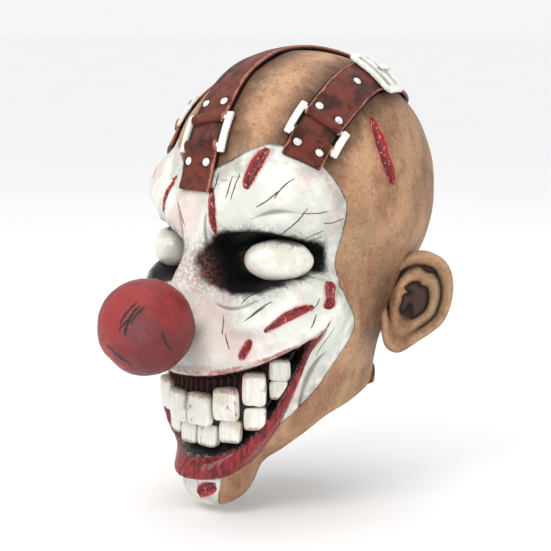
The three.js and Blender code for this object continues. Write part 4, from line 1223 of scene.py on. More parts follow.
# Painted shadow at the back of the ball, where it sits on the face.
seat_shade = times(tree, fade(tree, turn(tree, "DOT_PRODUCT", way_from(tree, place, NOSE_CENTRE),
                                   (0.0, 1.0, 0.0)), 0.012, 0.026), 0.7)
colour = tint(tree, colour, seat_shade, (40, 10, 12))
nose_grain = grain(tree, place, 1.1, 0.5)
feed(tree, shader.inputs["Base Color"], colour)
feed(tree, shader.inputs["Roughness"], fade(tree, nose_grain["Tone"], 0.4, 1.0, 0.36, 0.56))
nose_height = calc(tree, "MULTIPLY_ADD", fade(tree, nose_edge, 0.6, 1.1), 1.6, nose_grain["Height"])
raise_surface(tree, shader, nose_height, 0.5, 0.0005)
nose = show("nose_ball_painted", make_mesh("nose_ball_painted", nose_points, nose_faces), red)
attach(nose, "root")
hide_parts("nose_ball")
print("nose faces:", len(nose_faces))

# %% [markdown]
# ## Blind eyeballs
# The eyes are white domes set in the black sockets, turned a little outwards. They have no pupils.
# Red veins near the lids, a yellowish mottle and painted shade where the lids cover them keep them
# from looking like beads, and a clear coat makes them wet.

# %% Eyeballs
EYE_X, EYE_Y, EYE_Z, EYE_TURN = 0.62, -0.7, -0.012, math.radians(38)
EYE_RADII = np.array([25.0, 17.0, 15.5])
white_eye, tree, shader, place = new_material("eye_white_wet")
stray = put(tree, "ShaderNodeTexNoise", {"Vector": place, "Scale": 180.0, "Detail": 3.0})
bent_place = turn(tree, "ADD", place, turn(tree, "SCALE", stray.outputs["Color"], scale=0.006))
veins = put(tree, "ShaderNodeTexVoronoi", {"Vector": bent_place, "Scale": 110.0},
            feature="DISTANCE_TO_EDGE").outputs["Distance"]
eye_rim = value_of(tree, "lid_side")
colour = mottle(tree, place, 16.0, paint(236, 235, 226), paint(206, 200, 184), 0.7, 0.2)
colour = tint(tree, colour,
              times(tree, fade(tree, veins, 0.05, 0.01, 0.0, 0.55), fade(tree, eye_rim, 0.3, 0.9)),
              (150, 70, 62))
# Painted shade where the lids and the back of the socket hide the eyeball.
colour = tint(tree, colour, fade(tree, eye_rim, 0.72, 1.0, 0.0, 0.85), (52, 40, 38))
eye_grain = grain(tree, place, 2.0, 0.1)
feed(tree, shader.inputs["Base Color"], colour)
feed(tree, shader.inputs["Roughness"], fade(tree, eye_grain["Tone"], 0.4, 1.0, 0.16, 0.34))
shader.inputs["Coat Weight"].default_value = 0.5
shader.inputs["Coat Roughness"].default_value = 0.08
raise_surface(tree, shader, eye_grain["Height"], 0.15, 0.0003)

for side, label in ((1, "left"), (-1, "right")):
    centre = np.array([side * EYE_X * HALF_WIDTH, EYE_Y * HALF_LENGTH, EYE_Z * EYE_TO_CHIN])
    points, faces = ball(centre, EYE_RADII, 96, 60, side * EYE_TURN)
    rounder = points + 0.25 * waves(points, 14, 51)[:, None] * (points - centre) / 20
    mesh = make_mesh(f"eyeball_{label}_painted", rounder, faces)
    local = (points - centre) / EYE_RADII[2]
    under_lids = np.abs(local[:, 2]) ** 1.5 + 0.25 * smoothstep(points[:, 1] - centre[1], -6, 4)
    set_point_values(mesh, lid_side=np.clip(under_lids, 0, 1))
    eye = show(mesh.name, mesh, white_eye)
    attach(eye, "root")
    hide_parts(f"eyeball_{label}")
print("eyeballs stand at x =", round(EYE_X * HALF_WIDTH, 1), "mm on each side")

# %% [markdown]
# ## Teeth
# Each tooth is a rounded block, bent round the muzzle. A superellipsoid gives one with soft edges:
# it is a sphere whose powers are small, so it fills its box. Every tooth differs a little, from a
# fixed seed. Each row is one mesh, because a row is cast as one piece.

# %% The rows of teeth
TEETH, TOOTH_PITCH, TOOTH_GAP = 8, math.radians(13), 1.2
UPPER_TOOTH, LOWER_TOOTH, TOOTH_THICK, TOOTH_ROOT, GUM_GAP = 25.0, 17.0, 6.5, 2.5, 5.0


def signed_power(values, power):
    return np.sign(values) * np.abs(values) ** power


def tooth(angle, middle_z, height, chance, upper):
    """One tooth, bent round the muzzle, with how far along it each point lies from the gum."""
    out = np.array([math.sin(angle), -math.cos(angle), 0])
    axis = np.array([0, MOUTH_AXIS_Y, middle_z])
    root = cast(axis, out) - out * (MOUTH_DEPTH + TOOTH_ROOT)
    reach = np.linalg.norm(root - axis)
    width = 2 * reach * math.tan(TOOTH_PITCH / 2) - TOOTH_GAP
    unit, faces = ball(np.zeros(3), np.ones(3), 56, 36)
    shaped = signed_power(unit, 0.3)
    u = shaped[:, 0] * width / 2
    z = shaped[:, 2] * height / 2
    deep = (shaped[:, 1] + 1) / 2 * (TOOTH_ROOT + TOOTH_THICK)
    tip = (-z if upper else z) / height + 0.5
    u = u * lerp(0.93, 1.0, smoothstep(tip, 0, 0.6)) * chance.uniform(0.97, 1.0)
    front = deep / 9
    deep = deep - 1.4 * smoothstep(tip, 0.6, 1.0) * front
    deep = deep + 0.5 * np.sin(u * 0.9 + chance.uniform(0, 6)) * front
    aside = chance.normal(0, 0.3)
    z = z + aside + 0.5 * np.sin(u * 0.35 + chance.uniform(0, 6)) * (np.abs(z) / height)
    turn_here = angle + u / reach
    way = np.stack([np.sin(turn_here), -np.cos(turn_here), np.zeros_like(u)], axis=-1)
    points = axis + way * (reach + deep)[:, None] + np.stack([0 * u, 0 * u, z], axis=-1)
    return points, faces, np.clip(tip, 0, 1)


def tooth_row(upper, seed):
    chance = np.random.default_rng(seed)
    points, faces, tips = [], [], []
    for n in range(TEETH):
        angle = (n - (TEETH - 1) / 2) * TOOTH_PITCH
        high, low, bite = [float(v) for v in lip_lines(np.array(angle))]
        if upper:
            height = min(UPPER_TOOTH, high - bite - GUM_GAP)
            middle = bite + (TOOTH_GAP + height) / 2
        else:
            height = min(LOWER_TOOTH, bite - low - 0.5 * GUM_GAP)
            middle = bite - (TOOTH_GAP + height) / 2
        p, f, tip = tooth(angle, middle, height, chance, upper)
        start = sum(len(q) for q in points)
        points.append(p)
        faces += [tuple(start + i for i in face) for face in f]
        tips.append(tip)
    name = "teeth_upper" if upper else "teeth_lower"
    mesh = make_mesh(name, np.concatenate(points), faces)
    set_point_values(mesh, tip=np.concatenate(tips))
    return mesh


print("tooth width at the front:", round(2 * 95 * math.tan(TOOTH_PITCH / 2) - TOOTH_GAP, 1), "mm")

# %% The paint of the teeth
ivory, tree, shader, place = new_material("tooth_brushed")
brushed = noise(tree, turn(tree, "MULTIPLY", place, (1.0, 1.0, 0.12)), 620.0, 3.0, 0.6)
small = noise(tree, place, 300.0, 4.0, 0.6)
tip_share = value_of(tree, "tip")
colour = blend_colours(tree, fade(tree, brushed, 0.35, 0.65), paint(236, 235, 228),
                       paint(224, 221, 211))
patches = noise(tree, turn(tree, "ADD", place, (0.5, 0.2, 0.1)), 38.0, 1.0, 0.5)
older = fade(tree, patches, 0.56, 0.66, 0.0, 0.35)
colour = tint(tree, colour, older, (186, 160, 108))
root_stain = plus(tree, fade(tree, tip_share, 0.3, 0.02), fade(tree, small, 0.4, 0.7, -0.2, 0.2))
colour = tint(tree, colour, fade(tree, root_stain, 0.2, 0.9, 0.0, 0.65), (104, 66, 48))
drawn_down = noise(tree, turn(tree, "MULTIPLY", place, (1.0, 1.0, 0.4)), 90.0, 4.0, 0.7)
blood = times(tree, fade(tree, drawn_down, 0.6, 0.68), 0.75)
colour = tint(tree, colour, blood, (112, 26, 24))
feed(tree, shader.inputs["Base Color"], colour)
feed(tree, shader.inputs["Roughness"], fade(tree, brushed, 0.3, 0.7, 0.28, 0.46))
raise_surface(tree, shader, brushed, 0.2, 0.0004)

for upper, seed in ((True, 101), (False, 103)):
    mesh = tooth_row(upper, seed)
    row = show(mesh.name, mesh, ivory)
    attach(row, "root")
    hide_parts(*[f"tooth_{'upper' if upper else 'lower'}_{n + 1}" for n in range(TEETH)])
    print(mesh.name, len(mesh.polygons), "faces")

# %% [markdown]
# ## The routes of the straps
# A strap lies on the skull along a route, given as directions from the skull's centre: degrees
# round from the front, and degrees up. The route is smoothed and cast on the head. From then on any
# place on a strap is a length along it, a distance across it and a height above the skin.

# %% Lay a route on the head
CENTRE_ROUTE = [[0, 3.5], [0, 17], [-3, 38], [-12, 60], [-70, 81], [180, 60], [180, 30], [180, 4]]
SIDE_ROUTE = [[40.6, 16], [48, 29.8], [64, 45.5], [90, 56.5], [122, 57], [152, 47], [176, 33]]
STRAP_WIDTH, STRAP_THICKNESS, STRAP_LIFT, BACKING = 30.0, 3.0, 1.0, 1.4
STRAP_TOP = STRAP_LIFT + STRAP_THICKNESS
STRAPS = {
    # the side; lengths along: the link's middle, the window between the folds, the link's reach,
    # the two pairs of rivets, and the buckle
    "centre": {"side": 1, "link": 43.5, "window": 13.5, "reach": 15.2, "pairs": (21, 68),
               "buckle": 0},
    "left": {"side": 1, "link": 28.5, "window": 10.5, "reach": 12.8, "pairs": (13, 45),
             "buckle": 124},
    "right": {"side": -1, "link": 28.5, "window": 10.5, "reach": 12.8, "pairs": (13, 45),
              "buckle": 124},
}


def centripetal_curve(points, count):
    """A smooth curve through the points, with the tempo that keeps its bends even."""
    p = [np.array(q, float) for q in points]
    p = [2 * p[0] - p[1]] + p + [2 * p[-1] - p[-2]]
    samples = []
    for step in range(count + 1):
        place = step * (len(points) - 1) / count
        i = min(int(place), len(points) - 2)
        w = place - i
        q0, q1, q2, q3 = p[i:i + 4]
        knots = [max(float(((b - a) @ (b - a)) ** 0.25), 1e-4)
                 for a, b in ((q0, q1), (q1, q2), (q2, q3))]
        t1 = (q1 - q0) / knots[0] - (q2 - q0) / (knots[0] + knots[1]) + (q2 - q1) / knots[1]
        t2 = (q2 - q1) / knots[1] - (q3 - q1) / (knots[1] + knots[2]) + (q3 - q2) / knots[2]
        t1, t2 = t1 * knots[1], t2 * knots[1]
        a3, a2 = 2 * q1 - 2 * q2 + t1 + t2, -3 * q1 + 3 * q2 - 2 * t1 - t2
        samples.append(q1 + t1 * w + a2 * w ** 2 + a3 * w ** 3)
    return np.array(samples)


def lay_route(route, side):
    turns, lifts = np.radians(np.array(route, float)).T
    ways = np.stack([side * np.sin(turns) * np.cos(lifts), -np.cos(turns) * np.cos(lifts),
                     np.sin(lifts)], axis=-1)
    curve = centripetal_curve(ways, 160)
    curve /= np.linalg.norm(curve, axis=1, keepdims=True)
    points = cast(SKULL_CENTRE, curve)
    lengths = np.concatenate([[0], np.cumsum(np.linalg.norm(np.diff(points, axis=0), axis=1))])
    return points, lengths


def on_skull(laid, along, across, height):
    """Points at lengths along a route, distances across it and heights above the skin."""
    points, lengths = laid
    along, across, height = np.broadcast_arrays(np.asarray(along, float), across, height)
    i = np.clip(np.searchsorted(lengths, along, side="right"), 1, len(lengths) - 1)
    t = ((along - lengths[i - 1]) / (lengths[i] - lengths[i - 1]))[..., None]
    place = points[i - 1] * (1 - t) + points[i] * t
    out = head_normal(place)
    on = points[np.minimum(i + 3, len(points) - 1)] - points[np.maximum(i - 4, 0)]
    on = on - (on * out).sum(-1, keepdims=True) * out
    on /= np.linalg.norm(on, axis=-1, keepdims=True)
    aim = place + np.cross(out, on) * across[..., None] - SKULL_CENTRE
    foot = cast(SKULL_CENTRE, aim / np.linalg.norm(aim, axis=-1, keepdims=True))
    return foot + head_normal(foot) * height[..., None]


routes = {name: lay_route(SIDE_ROUTE if strap["buckle"] else CENTRE_ROUTE, strap["side"])
          for name, strap in STRAPS.items()}
for name, (_, lengths) in routes.items():
    print("strap", name, "is", round(float(lengths[-1])), "mm long")


# %% How far the skin is from the straps
def give_strap_gap(mesh):
    """The distance of each point from the nearest edge of a strap, for the painted shade beside it.
    """
    flat = np.empty(3 * len(mesh.vertices))
    mesh.vertices.foreach_get("co", flat)
    points = flat.reshape(-1, 3) / MM + [0, 0, EYE_DROP]
    nearest = np.full(len(points), 1e6)
    for laid, lengths in routes.values():
        inside = laid[(lengths > 14) & (lengths < lengths[-1] - 14)]
        for spot in inside[::2]:
            nearest = np.minimum(nearest, ((points - spot) ** 2).sum(axis=1))
    set_point_values(mesh, strap_gap=np.sqrt(nearest) - STRAP_WIDTH / 2)


for piece in (painted_skin, *ears):
    give_strap_gap(piece.data)
print("points that know their strap:",
      sum(len(piece.data.vertices) for piece in (painted_skin, *ears)))

# %% [markdown]
# ## Leather straps
# A strap is a band of thick leather with rounded, slightly raised edges. At a link its end is
# folded over the bar and riveted down, so it swells there. The band is a loft: one closed outline
# across the strap, repeated every few millimetres along the route. Its points store how far along
# and across the strap they lie, so the leather's creases and worn edges follow it.

# %% Bands
LINK_BAR, LINK_SIDE, LINK_THICKNESS, LINK_LIFT = 3.2, 5.4, 3.4, 1.9
FOLD_HEIGHT, FOLD_LENGTH, FOLD_CREST = 7.0, 7.5, 5.9
BUCKLE_LENGTH = 31.0
RIVET_SPREAD, BACK_RIVETS_AHEAD, BUCKLE_RIVET_AHEAD = 8.5, 9, 34


def band_outline(points=22):
    """An outline across a strap of half width 1 and height 1, with round edges and a welt."""
    turns = np.arange(2 * points) * math.pi / points
    across = signed_power(np.cos(turns), 0.28)
    height = 0.5 + 0.5 * signed_power(np.sin(turns), 0.45)
    welt = 0.1 * bump((np.abs(across) - 0.9) / 0.12) * (height > 0.5)
    return across, height + welt - 0.06 * bump((np.abs(across) - 0.78) / 0.08) * (height > 0.5)


def band_mesh(name, laid, start, end, bottom, top, half, pitch=2.2):
    """A closed band between two lengths; bottom, top and half may change along it."""
    steps = max(int(round((end - start) / pitch)), 6)
    along = np.linspace(start, end, steps + 1)
    blunt = np.array([0.0, 0.5, 0.85])
    along = np.concatenate([start + blunt * 1.0, along[1:-1], (end - blunt * 1.0)[::-1]])
    to_end = np.minimum(np.minimum(along - start, end - along), 1.2)
    round_end = np.sqrt(np.clip(1 - (1 - to_end / 1.2) ** 2, 0, 1))
    unit_across, unit_height = band_outline()
    low, high, wide = bottom(along), top(along), half(along)
    wavy = 1 + 0.012 * np.sin(along / 9.0) + 0.008 * np.sin(along / 3.7 + 1)
    across = unit_across * (wide * wavy - 0.8 * (1 - round_end))[:, None]
    middle, thick = (low + high) / 2, (high - low) * lerp(0.55, 1.0, round_end)
    height = middle[:, None] + (unit_height - 0.5) * thick[:, None]
    points = on_skull(laid, along[:, None], across, height)
    rows, sides = points.shape[:2]
    flat = points.reshape(-1, 3)
    ends = np.stack([points[0].mean(0), points[-1].mean(0)])
    faces = []
    for i in range(rows - 1):
        for k in range(sides):
            m = (k + 1) % sides
            faces.append((i * sides + k, (i + 1) * sides + k, (i + 1) * sides + m, i * sides + m))
    tip, last = rows * sides, (rows - 1) * sides
    faces += [(tip, k, (k + 1) % sides) for k in range(sides)]
    faces += [(tip + 1, last + (k + 1) % sides, last + k) for k in range(sides)]
    mesh = make_mesh(name, np.concatenate([flat, ends]), faces)
    share = np.broadcast_to(unit_across, (rows, sides)).ravel()
    set_point_values(mesh, along_strap=np.append(np.repeat(along, sides), [start, end]) * MM,
                     across_strap=np.append(share, [0, 0]),
                     upper_side=np.append(np.broadcast_to(unit_height, (rows, sides)).ravel(),
                                          [0.5, 0.5]))
    return mesh


print("outline across a strap has", len(band_outline()[0]), "points")

# %% [markdown]
# ## Worn brown leather
# The straps are dark red-brown, cracked across, and rubbed pale along the tops of their edges,
# which is wear and a painted highlight at once. Fine grain comes from the shared group; cracks are
# noise that is squeezed along the strap; the pale edges follow the distance across it, broken up by
# noise so that they look worn. Round the rivets and on the underside the leather gets painted
# shade.

# %% Leather
leather, tree, shader, place = new_material("leather_worn")
along_m, across_share = value_of(tree, "along_strap"), value_of(tree, "across_strap")
upper_side = value_of(tree, "upper_side")
medium = noise(tree, place, 120.0, 4.0, 0.62)
small = noise(tree, place, 520.0, 4.0, 0.6)
crack_place = put(tree, "ShaderNodeCombineXYZ", {0: times(tree, along_m, 260.0),
                                                 1: times(tree, across_share, 1.6),
                                                 2: times(tree, medium, 0.6)}).outputs[0]
cracks = noise(tree, crack_place, 1.0, 4.0, 0.6)
colour = mottle(tree, place, 18.0, paint(114, 50, 36), paint(56, 22, 16), 0.95, 0.35)
crack_mask = fade(tree, cracks, 0.4, 0.3)
colour = tint(tree, colour, times(tree, crack_mask, 0.75), (44, 20, 17))
edge_share = plus(tree, calc(tree, "ABSOLUTE", across_share),
                  fade(tree, medium, 0.3, 0.7, -0.05, 0.05))
# Pale top edges: wear, and a painted highlight along the rounded edges.
rubbed_and_highlit = times(tree, fade(tree, edge_share, 0.9, 0.96), fade(tree, upper_side, 0.55, 0.8))
rubbed_and_highlit = times(tree, rubbed_and_highlit, fade(tree, small, 0.3, 0.55, 0.25, 0.85))
colour = tint(tree, colour, rubbed_and_highlit, (196, 132, 110))
scuffs = times(tree, fade(tree, small, 0.6, 0.72), fade(tree, medium, 0.5, 0.66))
colour = tint(tree, colour, times(tree, scuffs, 0.6), (188, 126, 106))
# Painted shade in the leather round each rivet.
rivet_shade = fade(tree, plus(tree, value_of(tree, "rivet_gap"), fade(tree, medium, 0.3, 0.7, -1.2, 1.2)),
            6.0, 2.8, 0.0, 0.8)
colour = tint(tree, colour, rivet_shade, (32, 14, 11))
# Painted shade on the underside of the strap.
underside_shade = fade(tree, upper_side, 0.42, 0.2)
colour = tint(tree, colour, underside_shade, (30, 16, 13))
leather_grain = grain(tree, place, 1.0, 0.8)
feed(tree, shader.inputs["Base Color"], colour)
feed(tree, shader.inputs["Roughness"], fade(tree, leather_grain["Tone"], 0.4, 1.0, 0.4, 0.66))
leather_height = calc(tree, "MULTIPLY_ADD", crack_mask, -1.4, leather_grain["Height"])
raise_surface(tree, shader, leather_height, 0.55, 0.0006)
shader.inputs["Specular IOR Level"].default_value = 0.28
print("nodes in the leather:", len(tree.nodes))


# %% Cut and lay the straps
def rivet_rows(strap, total):
    spots = [(row, side * RIVET_SPREAD) for row in strap["pairs"] for side in (-1, 1)]
    if not strap["buckle"]:
        return spots + [(total - BACK_RIVETS_AHEAD, side * RIVET_SPREAD) for side in (-1, 1)]
    return spots + [(strap["buckle"] - BUCKLE_RIVET_AHEAD, 0.0)]


def swell(fold_at, away):
    """The fold at a link, from 0 on the flat strap to 1 over the bar."""
    def at(along):
        near = (along - fold_at) * away
        return np.where(near < 1.5, 0.8, 1.0) * (1 - smoothstep(near, FOLD_CREST, FOLD_LENGTH))
    return at


def give_rivet_gap(mesh, rows):
    """How far each point of a strap is from the nearest rivet, for the painted shade round it."""
    along, share = np.empty(len(mesh.vertices)), np.empty(len(mesh.vertices))
    mesh.attributes["along_strap"].data.foreach_get("value", along)
    mesh.attributes["across_strap"].data.foreach_get("value", share)
    gaps = [np.hypot(along / MM - row, share * STRAP_WIDTH / 2 - across) for row, across in rows]
    set_point_values(mesh, rivet_gap=np.min(gaps, axis=0))


def lay_strap(name, laid, strap):
    total = float(laid[1][-1])
    link_at, half = strap["link"], strap["window"] / 2
    tuck = 3.4 if strap["buckle"] else 0.0
    lower_fold, upper_fold = swell(link_at - half, -1), swell(link_at + half, 1)

    def drop(along):
        return tuck * smoothstep(along, total - 34, total - 14)

    def flat_bottom(along):
        return 0 * along + STRAP_LIFT - 0.6

    def half_width(along):
        return np.full_like(along, STRAP_WIDTH / 2)

    bands = [
        ("lower", 0.0, link_at - half, flat_bottom,
         lambda a: lerp(STRAP_TOP, FOLD_HEIGHT, lower_fold(a))),
        ("upper", link_at + half, total, lambda a: flat_bottom(a) - drop(a),
         lambda a: lerp(STRAP_TOP, FOLD_HEIGHT, upper_fold(a)) - drop(a)),
    ]
    count = 0
    for label, start, end, bottom, top in bands:
        mesh = band_mesh(f"strap_{name}_{label}_leather", laid, start, end, bottom, top, half_width)
        piece = show(mesh.name, mesh, leather)
        give_rivet_gap(mesh, rivet_rows(strap, total))
        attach(piece, "root")
        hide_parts(f"strap_{name}_{label}")
        count += len(mesh.polygons)
    return count


for name, strap in STRAPS.items():
    print("strap", name, "has", lay_strap(name, routes[name], strap), "faces")

# %% [markdown]
# ## The backing at each link
# Between the two folded ends a thinner tongue of paler leather lies on the skin and shows through
# the link's window. It keeps the bars from rubbing the latex.

# %% Backing tongues
suede, tree, shader, place = new_material("leather_backing")
nap = noise(tree, place, 640.0, 4.0, 0.65)
colour = mottle(tree, place, 9.0, paint(108, 50, 33), paint(64, 28, 20), 0.95, 0.3)
side_shadow = fade(tree, calc(tree, "ABSOLUTE", value_of(tree, "across_strap")), 0.72, 0.98, 0.0,
                   0.8)
colour = tint(tree, colour, side_shadow, (48, 24, 18))
feed(tree, shader.inputs["Base Color"], colour)
feed(tree, shader.inputs["Roughness"], fade(tree, nap, 0.3, 0.7, 0.62, 0.85))
raise_surface(tree, shader, nap, 0.6, 0.0005)
for name, strap in STRAPS.items():
    link_at, reach = strap["link"], strap["window"] / 2 + 2.5
    mesh = band_mesh(f"strap_{name}_backing_suede", routes[name], link_at - reach, link_at + reach,
                     lambda a: 0 * a + STRAP_LIFT - 0.5, lambda a: 0 * a + STRAP_LIFT + BACKING,
                     lambda a: 0 * a + STRAP_WIDTH / 2 - 1)
    tongue = show(mesh.name, mesh, suede)
    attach(tongue, "root")
    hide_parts(f"strap_{name}_backing")
print("backing tongues:", len(STRAPS))

# %% [markdown]
# ## Links, buckles and prongs
# The metal is cast and enamelled off-white. A link, a buckle and its prong are all made of rounded
# bars that follow the skull: each bar is one soft-cornered section, carried along a path that is
# given as lengths along the strap and offsets across it.

# %% Pale enamelled metal
enamel, tree, shader, place = new_material("metal_pale")
small = noise(tree, place, 460.0, 4.0, 0.65)
medium = noise(tree, place, 140.0, 3.0, 0.6)
colour = blend_colours(tree, fade(tree, medium, 0.35, 0.65), paint(244, 244, 240),
                       paint(222, 221, 213))
chips = times(tree, fade(tree, small, 0.62, 0.66), fade(tree, medium, 0.5, 0.6))
colour = tint(tree, colour, times(tree, chips, 0.7), (138, 124, 112))
# Grime in random spots, and painted shade along the foot of each bar where it meets the leather.
low_side = plus(tree, value_of(tree, "foot"), fade(tree, small, 0.3, 0.7, -0.12, 0.12))
grime_and_foot_shade = calc(tree, "MAXIMUM", fade(tree, low_side, 0.6, 0.95, 0.0, 0.85),
             fade(tree, small, 0.66, 0.8, 0.0, 0.5))
colour = tint(tree, colour, grime_and_foot_shade, (84, 64, 54))
metal_grain = grain(tree, place, 1.6, 0.2)
feed(tree, shader.inputs["Base Color"], colour)
feed(tree, shader.inputs["Metallic"], times(tree, chips, 0.8))
feed(tree, shader.inputs["Roughness"], fade(tree, metal_grain["Tone"], 0.4, 1.0, 0.26, 0.46))
raise_surface(tree, shader, metal_grain["Height"], 0.2, 0.0004)


# %% Rounded bars that follow the skull
def bar(laid, path, width, low, high, closed=False, sides=24):
    """A bar along a path of lengths and offsets on a strap, with its points, faces and heights."""
    path = np.array(path, float)
    if closed:
        step = np.roll(path, -1, axis=0) - np.roll(path, 1, axis=0)
    else:
        step = np.gradient(path, axis=0)
    step /= np.linalg.norm(step, axis=1, keepdims=True)
    sideways = np.stack([-step[:, 1], step[:, 0]], axis=-1)
    gone = np.concatenate([[0], np.cumsum(np.linalg.norm(np.diff(path, axis=0), axis=1))])
    to_end = np.full(len(path), 9.0) if closed else np.minimum(gone, gone[-1] - gone)
    pulled = 1.2 * (1 - np.sqrt(np.clip(1 - (1 - np.minimum(to_end, 1.2) / 1.2) ** 2, 0, 1)))
    turns = (np.arange(sides) + 0.5) * 2 * math.pi / sides
    spread = signed_power(np.cos(turns), 0.42) * (width / 2 - pulled)[:, None]
    rise = signed_power(np.sin(turns), 0.42) * ((high - low) / 2 - pulled)[:, None]
    along = path[:, :1] + sideways[:, :1] * spread
    across = path[:, 1:] + sideways[:, 1:] * spread
    points = on_skull(laid, along, across, (low + high) / 2 + rise)
    count = len(path)
    lengths = range(count if closed else count - 1)
    faces = [(i * sides + k, (i + 1) % count * sides + k,
              (i + 1) % count * sides + (k + 1) % sides, i * sides + (k + 1) % sides)
             for i in lengths for k in range(sides)]
    if not closed:
        faces += [tuple(range(sides)), tuple((count - 1) * sides + k for k in range(sides))]
    return points.reshape(-1, 3), faces, (0.5 + rise / (high - low)).ravel()


def straight(start, end, pitch=1.3):
    """A path between two places, with close steps at its ends for the rounding."""
    start, end = np.array(start, float), np.array(end, float)
    length = np.linalg.norm(end - start)
    near = np.array([0, 0.12, 0.35, 0.7, 1.2])
    middle = np.linspace(1.2, length - 1.2, max(int(length / pitch), 4))[1:-1]
    stations = np.concatenate([near, middle, length - near[::-1]])[:, None]
    return start + stations * (end - start) / length


def ring(centre, half_length, half_width, corner, steps=7):
    """A closed path round a rectangle with round corners."""
    path = []
    for quarter, (s, t) in enumerate(((1, 1), (1, -1), (-1, -1), (-1, 1))):
        turns = math.pi / 2 * (1 - quarter) - np.linspace(0, math.pi / 2, steps)
        middle = np.array([centre + s * (half_length - corner), t * (half_width - corner)])
        path += list(middle + corner * np.stack([np.cos(turns), np.sin(turns)], axis=-1))
    dense = []
    for here, there in zip(path, path[1:] + path[:1]):
        cuts_between = max(int(np.linalg.norm(there - here) / 1.5), 1)
        dense += [here + (there - here) * n / cuts_between for n in range(cuts_between)]
    return dense


def metal_piece(name, node, bars):
    """Several bars as one mesh, standing in for one solid of the frame."""
    starts = np.cumsum([0] + [len(points) for points, _, _ in bars])
    faces = [tuple(start + i for i in face) for start, (_, own, _) in zip(starts, bars)
             for face in own]
    mesh = make_mesh(name, np.concatenate([points for points, _, _ in bars]), faces)
    work = bmesh.new()
    work.from_mesh(mesh)
    bmesh.ops.recalc_face_normals(work, faces=work.faces)
    work.to_mesh(mesh)
    work.free()
    set_point_values(mesh, foot=1 - np.concatenate([rise for _, _, rise in bars]))
    piece = show(name, mesh, enamel)
    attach(piece, "root")
    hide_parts(node)
    print(name, len(mesh.polygons), "faces")


# %% Links, buckles and prongs in place
BUCKLE_WIDTH, BUCKLE_BAR, BUCKLE_THICKNESS, PRONG_WIDTH, PRONG_THICKNESS = 42.0, 5.5, 3.5, 4.0, 2.4
LINK_INNER = STRAP_WIDTH / 2 + CLEARANCE + 0.5
for name, strap in STRAPS.items():
    laid, link_at, reach = routes[name], strap["link"], strap["reach"]
    cross = (strap["window"] + FOLD_LENGTH) / 2
    level = (LINK_LIFT, LINK_LIFT + LINK_THICKNESS)
    edge = LINK_INNER + LINK_SIDE / 2
    bars = [bar(laid, straight([link_at - reach, s * edge], [link_at + reach, s * edge]), LINK_SIDE,
                *level) for s in (-1, 1)]
    bars += [bar(laid, straight([link_at + s * cross, -edge], [link_at + s * cross, edge]),
                 LINK_BAR, *level) for s in (-1, 1)]
    metal_piece(f"link_{name}_cast", f"link_{name}", bars)
    if not strap["buckle"]:
        continue
    middle = strap["buckle"]
    low = STRAP_TOP + 2 * CLEARANCE
    level = (low, low + BUCKLE_THICKNESS)
    half, edge = (BUCKLE_LENGTH - BUCKLE_BAR) / 2, (BUCKLE_WIDTH - BUCKLE_BAR) / 2
    bars = [bar(laid, ring(middle, half, edge, 4.5), BUCKLE_BAR, *level, closed=True),
            bar(laid, straight([middle, -edge], [middle, edge]), BUCKLE_BAR, *level)]
    metal_piece(f"buckle_{name}_cast", f"buckle_{name}", bars)
    low = level[1] + 2 * CLEARANCE
    tongue_path = straight([middle - BUCKLE_BAR / 2, 0], [middle + BUCKLE_LENGTH / 2, 0])
    metal_piece(f"prong_{name}_cast", f"prong_{name}",
                [bar(laid, tongue_path, PRONG_WIDTH, low, low + PRONG_THICKNESS)])

# %% [markdown]
# ## Rivets by Geometry Nodes
# All rivets are alike: a dome on a thin collar. That is work for Geometry Nodes. A mesh of bare
# points holds the places, and an attribute holds the way out of the leather at each. The tree puts
# one rivet on every point, turns it to that way, makes the copies real and gives them the metal.

# %% Places of the rivets
RIVET_DIAMETER, RIVET_HEIGHT, RIVET_COLLAR = 4.8, 1.7, 0.6

rivet_points, rivet_ways = [], []
for name, strap in STRAPS.items():
    for row, across in rivet_rows(strap, float(routes[name][1][-1])):
        foot = on_skull(routes[name], row, across, STRAP_TOP)
        rivet_points.append(foot)
        rivet_ways.append(head_normal(foot))
spots = make_mesh("rivet_spots", np.array(rivet_points), [])
way_out = spots.attributes.new("way_out", "FLOAT_VECTOR", "POINT")
way_out.data.foreach_set("vector", np.ravel(rivet_ways))
print("rivets:", len(rivet_points))

# %% The tree that makes them
rivet_tree = bpy.data.node_groups.new("rivets on leather", "GeometryNodeTree")
rivet_tree.interface.new_socket("Places", in_out="INPUT", socket_type="NodeSocketGeometry")
for label, value in (("Diameter", RIVET_DIAMETER), ("Height", RIVET_HEIGHT),
                     ("Collar", RIVET_COLLAR)):
    socket = rivet_tree.interface.new_socket(label, in_out="INPUT", socket_type="NodeSocketFloat")
    socket.default_value = value * MM
rivet_tree.interface.new_socket("Rivets", in_out="OUTPUT", socket_type="NodeSocketGeometry")
given = rivet_tree.nodes.new("NodeGroupInput").outputs
result = rivet_tree.nodes.new("NodeGroupOutput").inputs


def geo(kind, feeds=None, **settings):
    return put(rivet_tree, kind, feeds, **settings)


def scale_of(across, up):
    return geo("ShaderNodeCombineXYZ", {0: across, 1: across, 2: up}).outputs[0]


def grown(size, factor):
    return geo("ShaderNodeMath", {0: given[size], 1: factor}, operation="MULTIPLY").outputs[0]


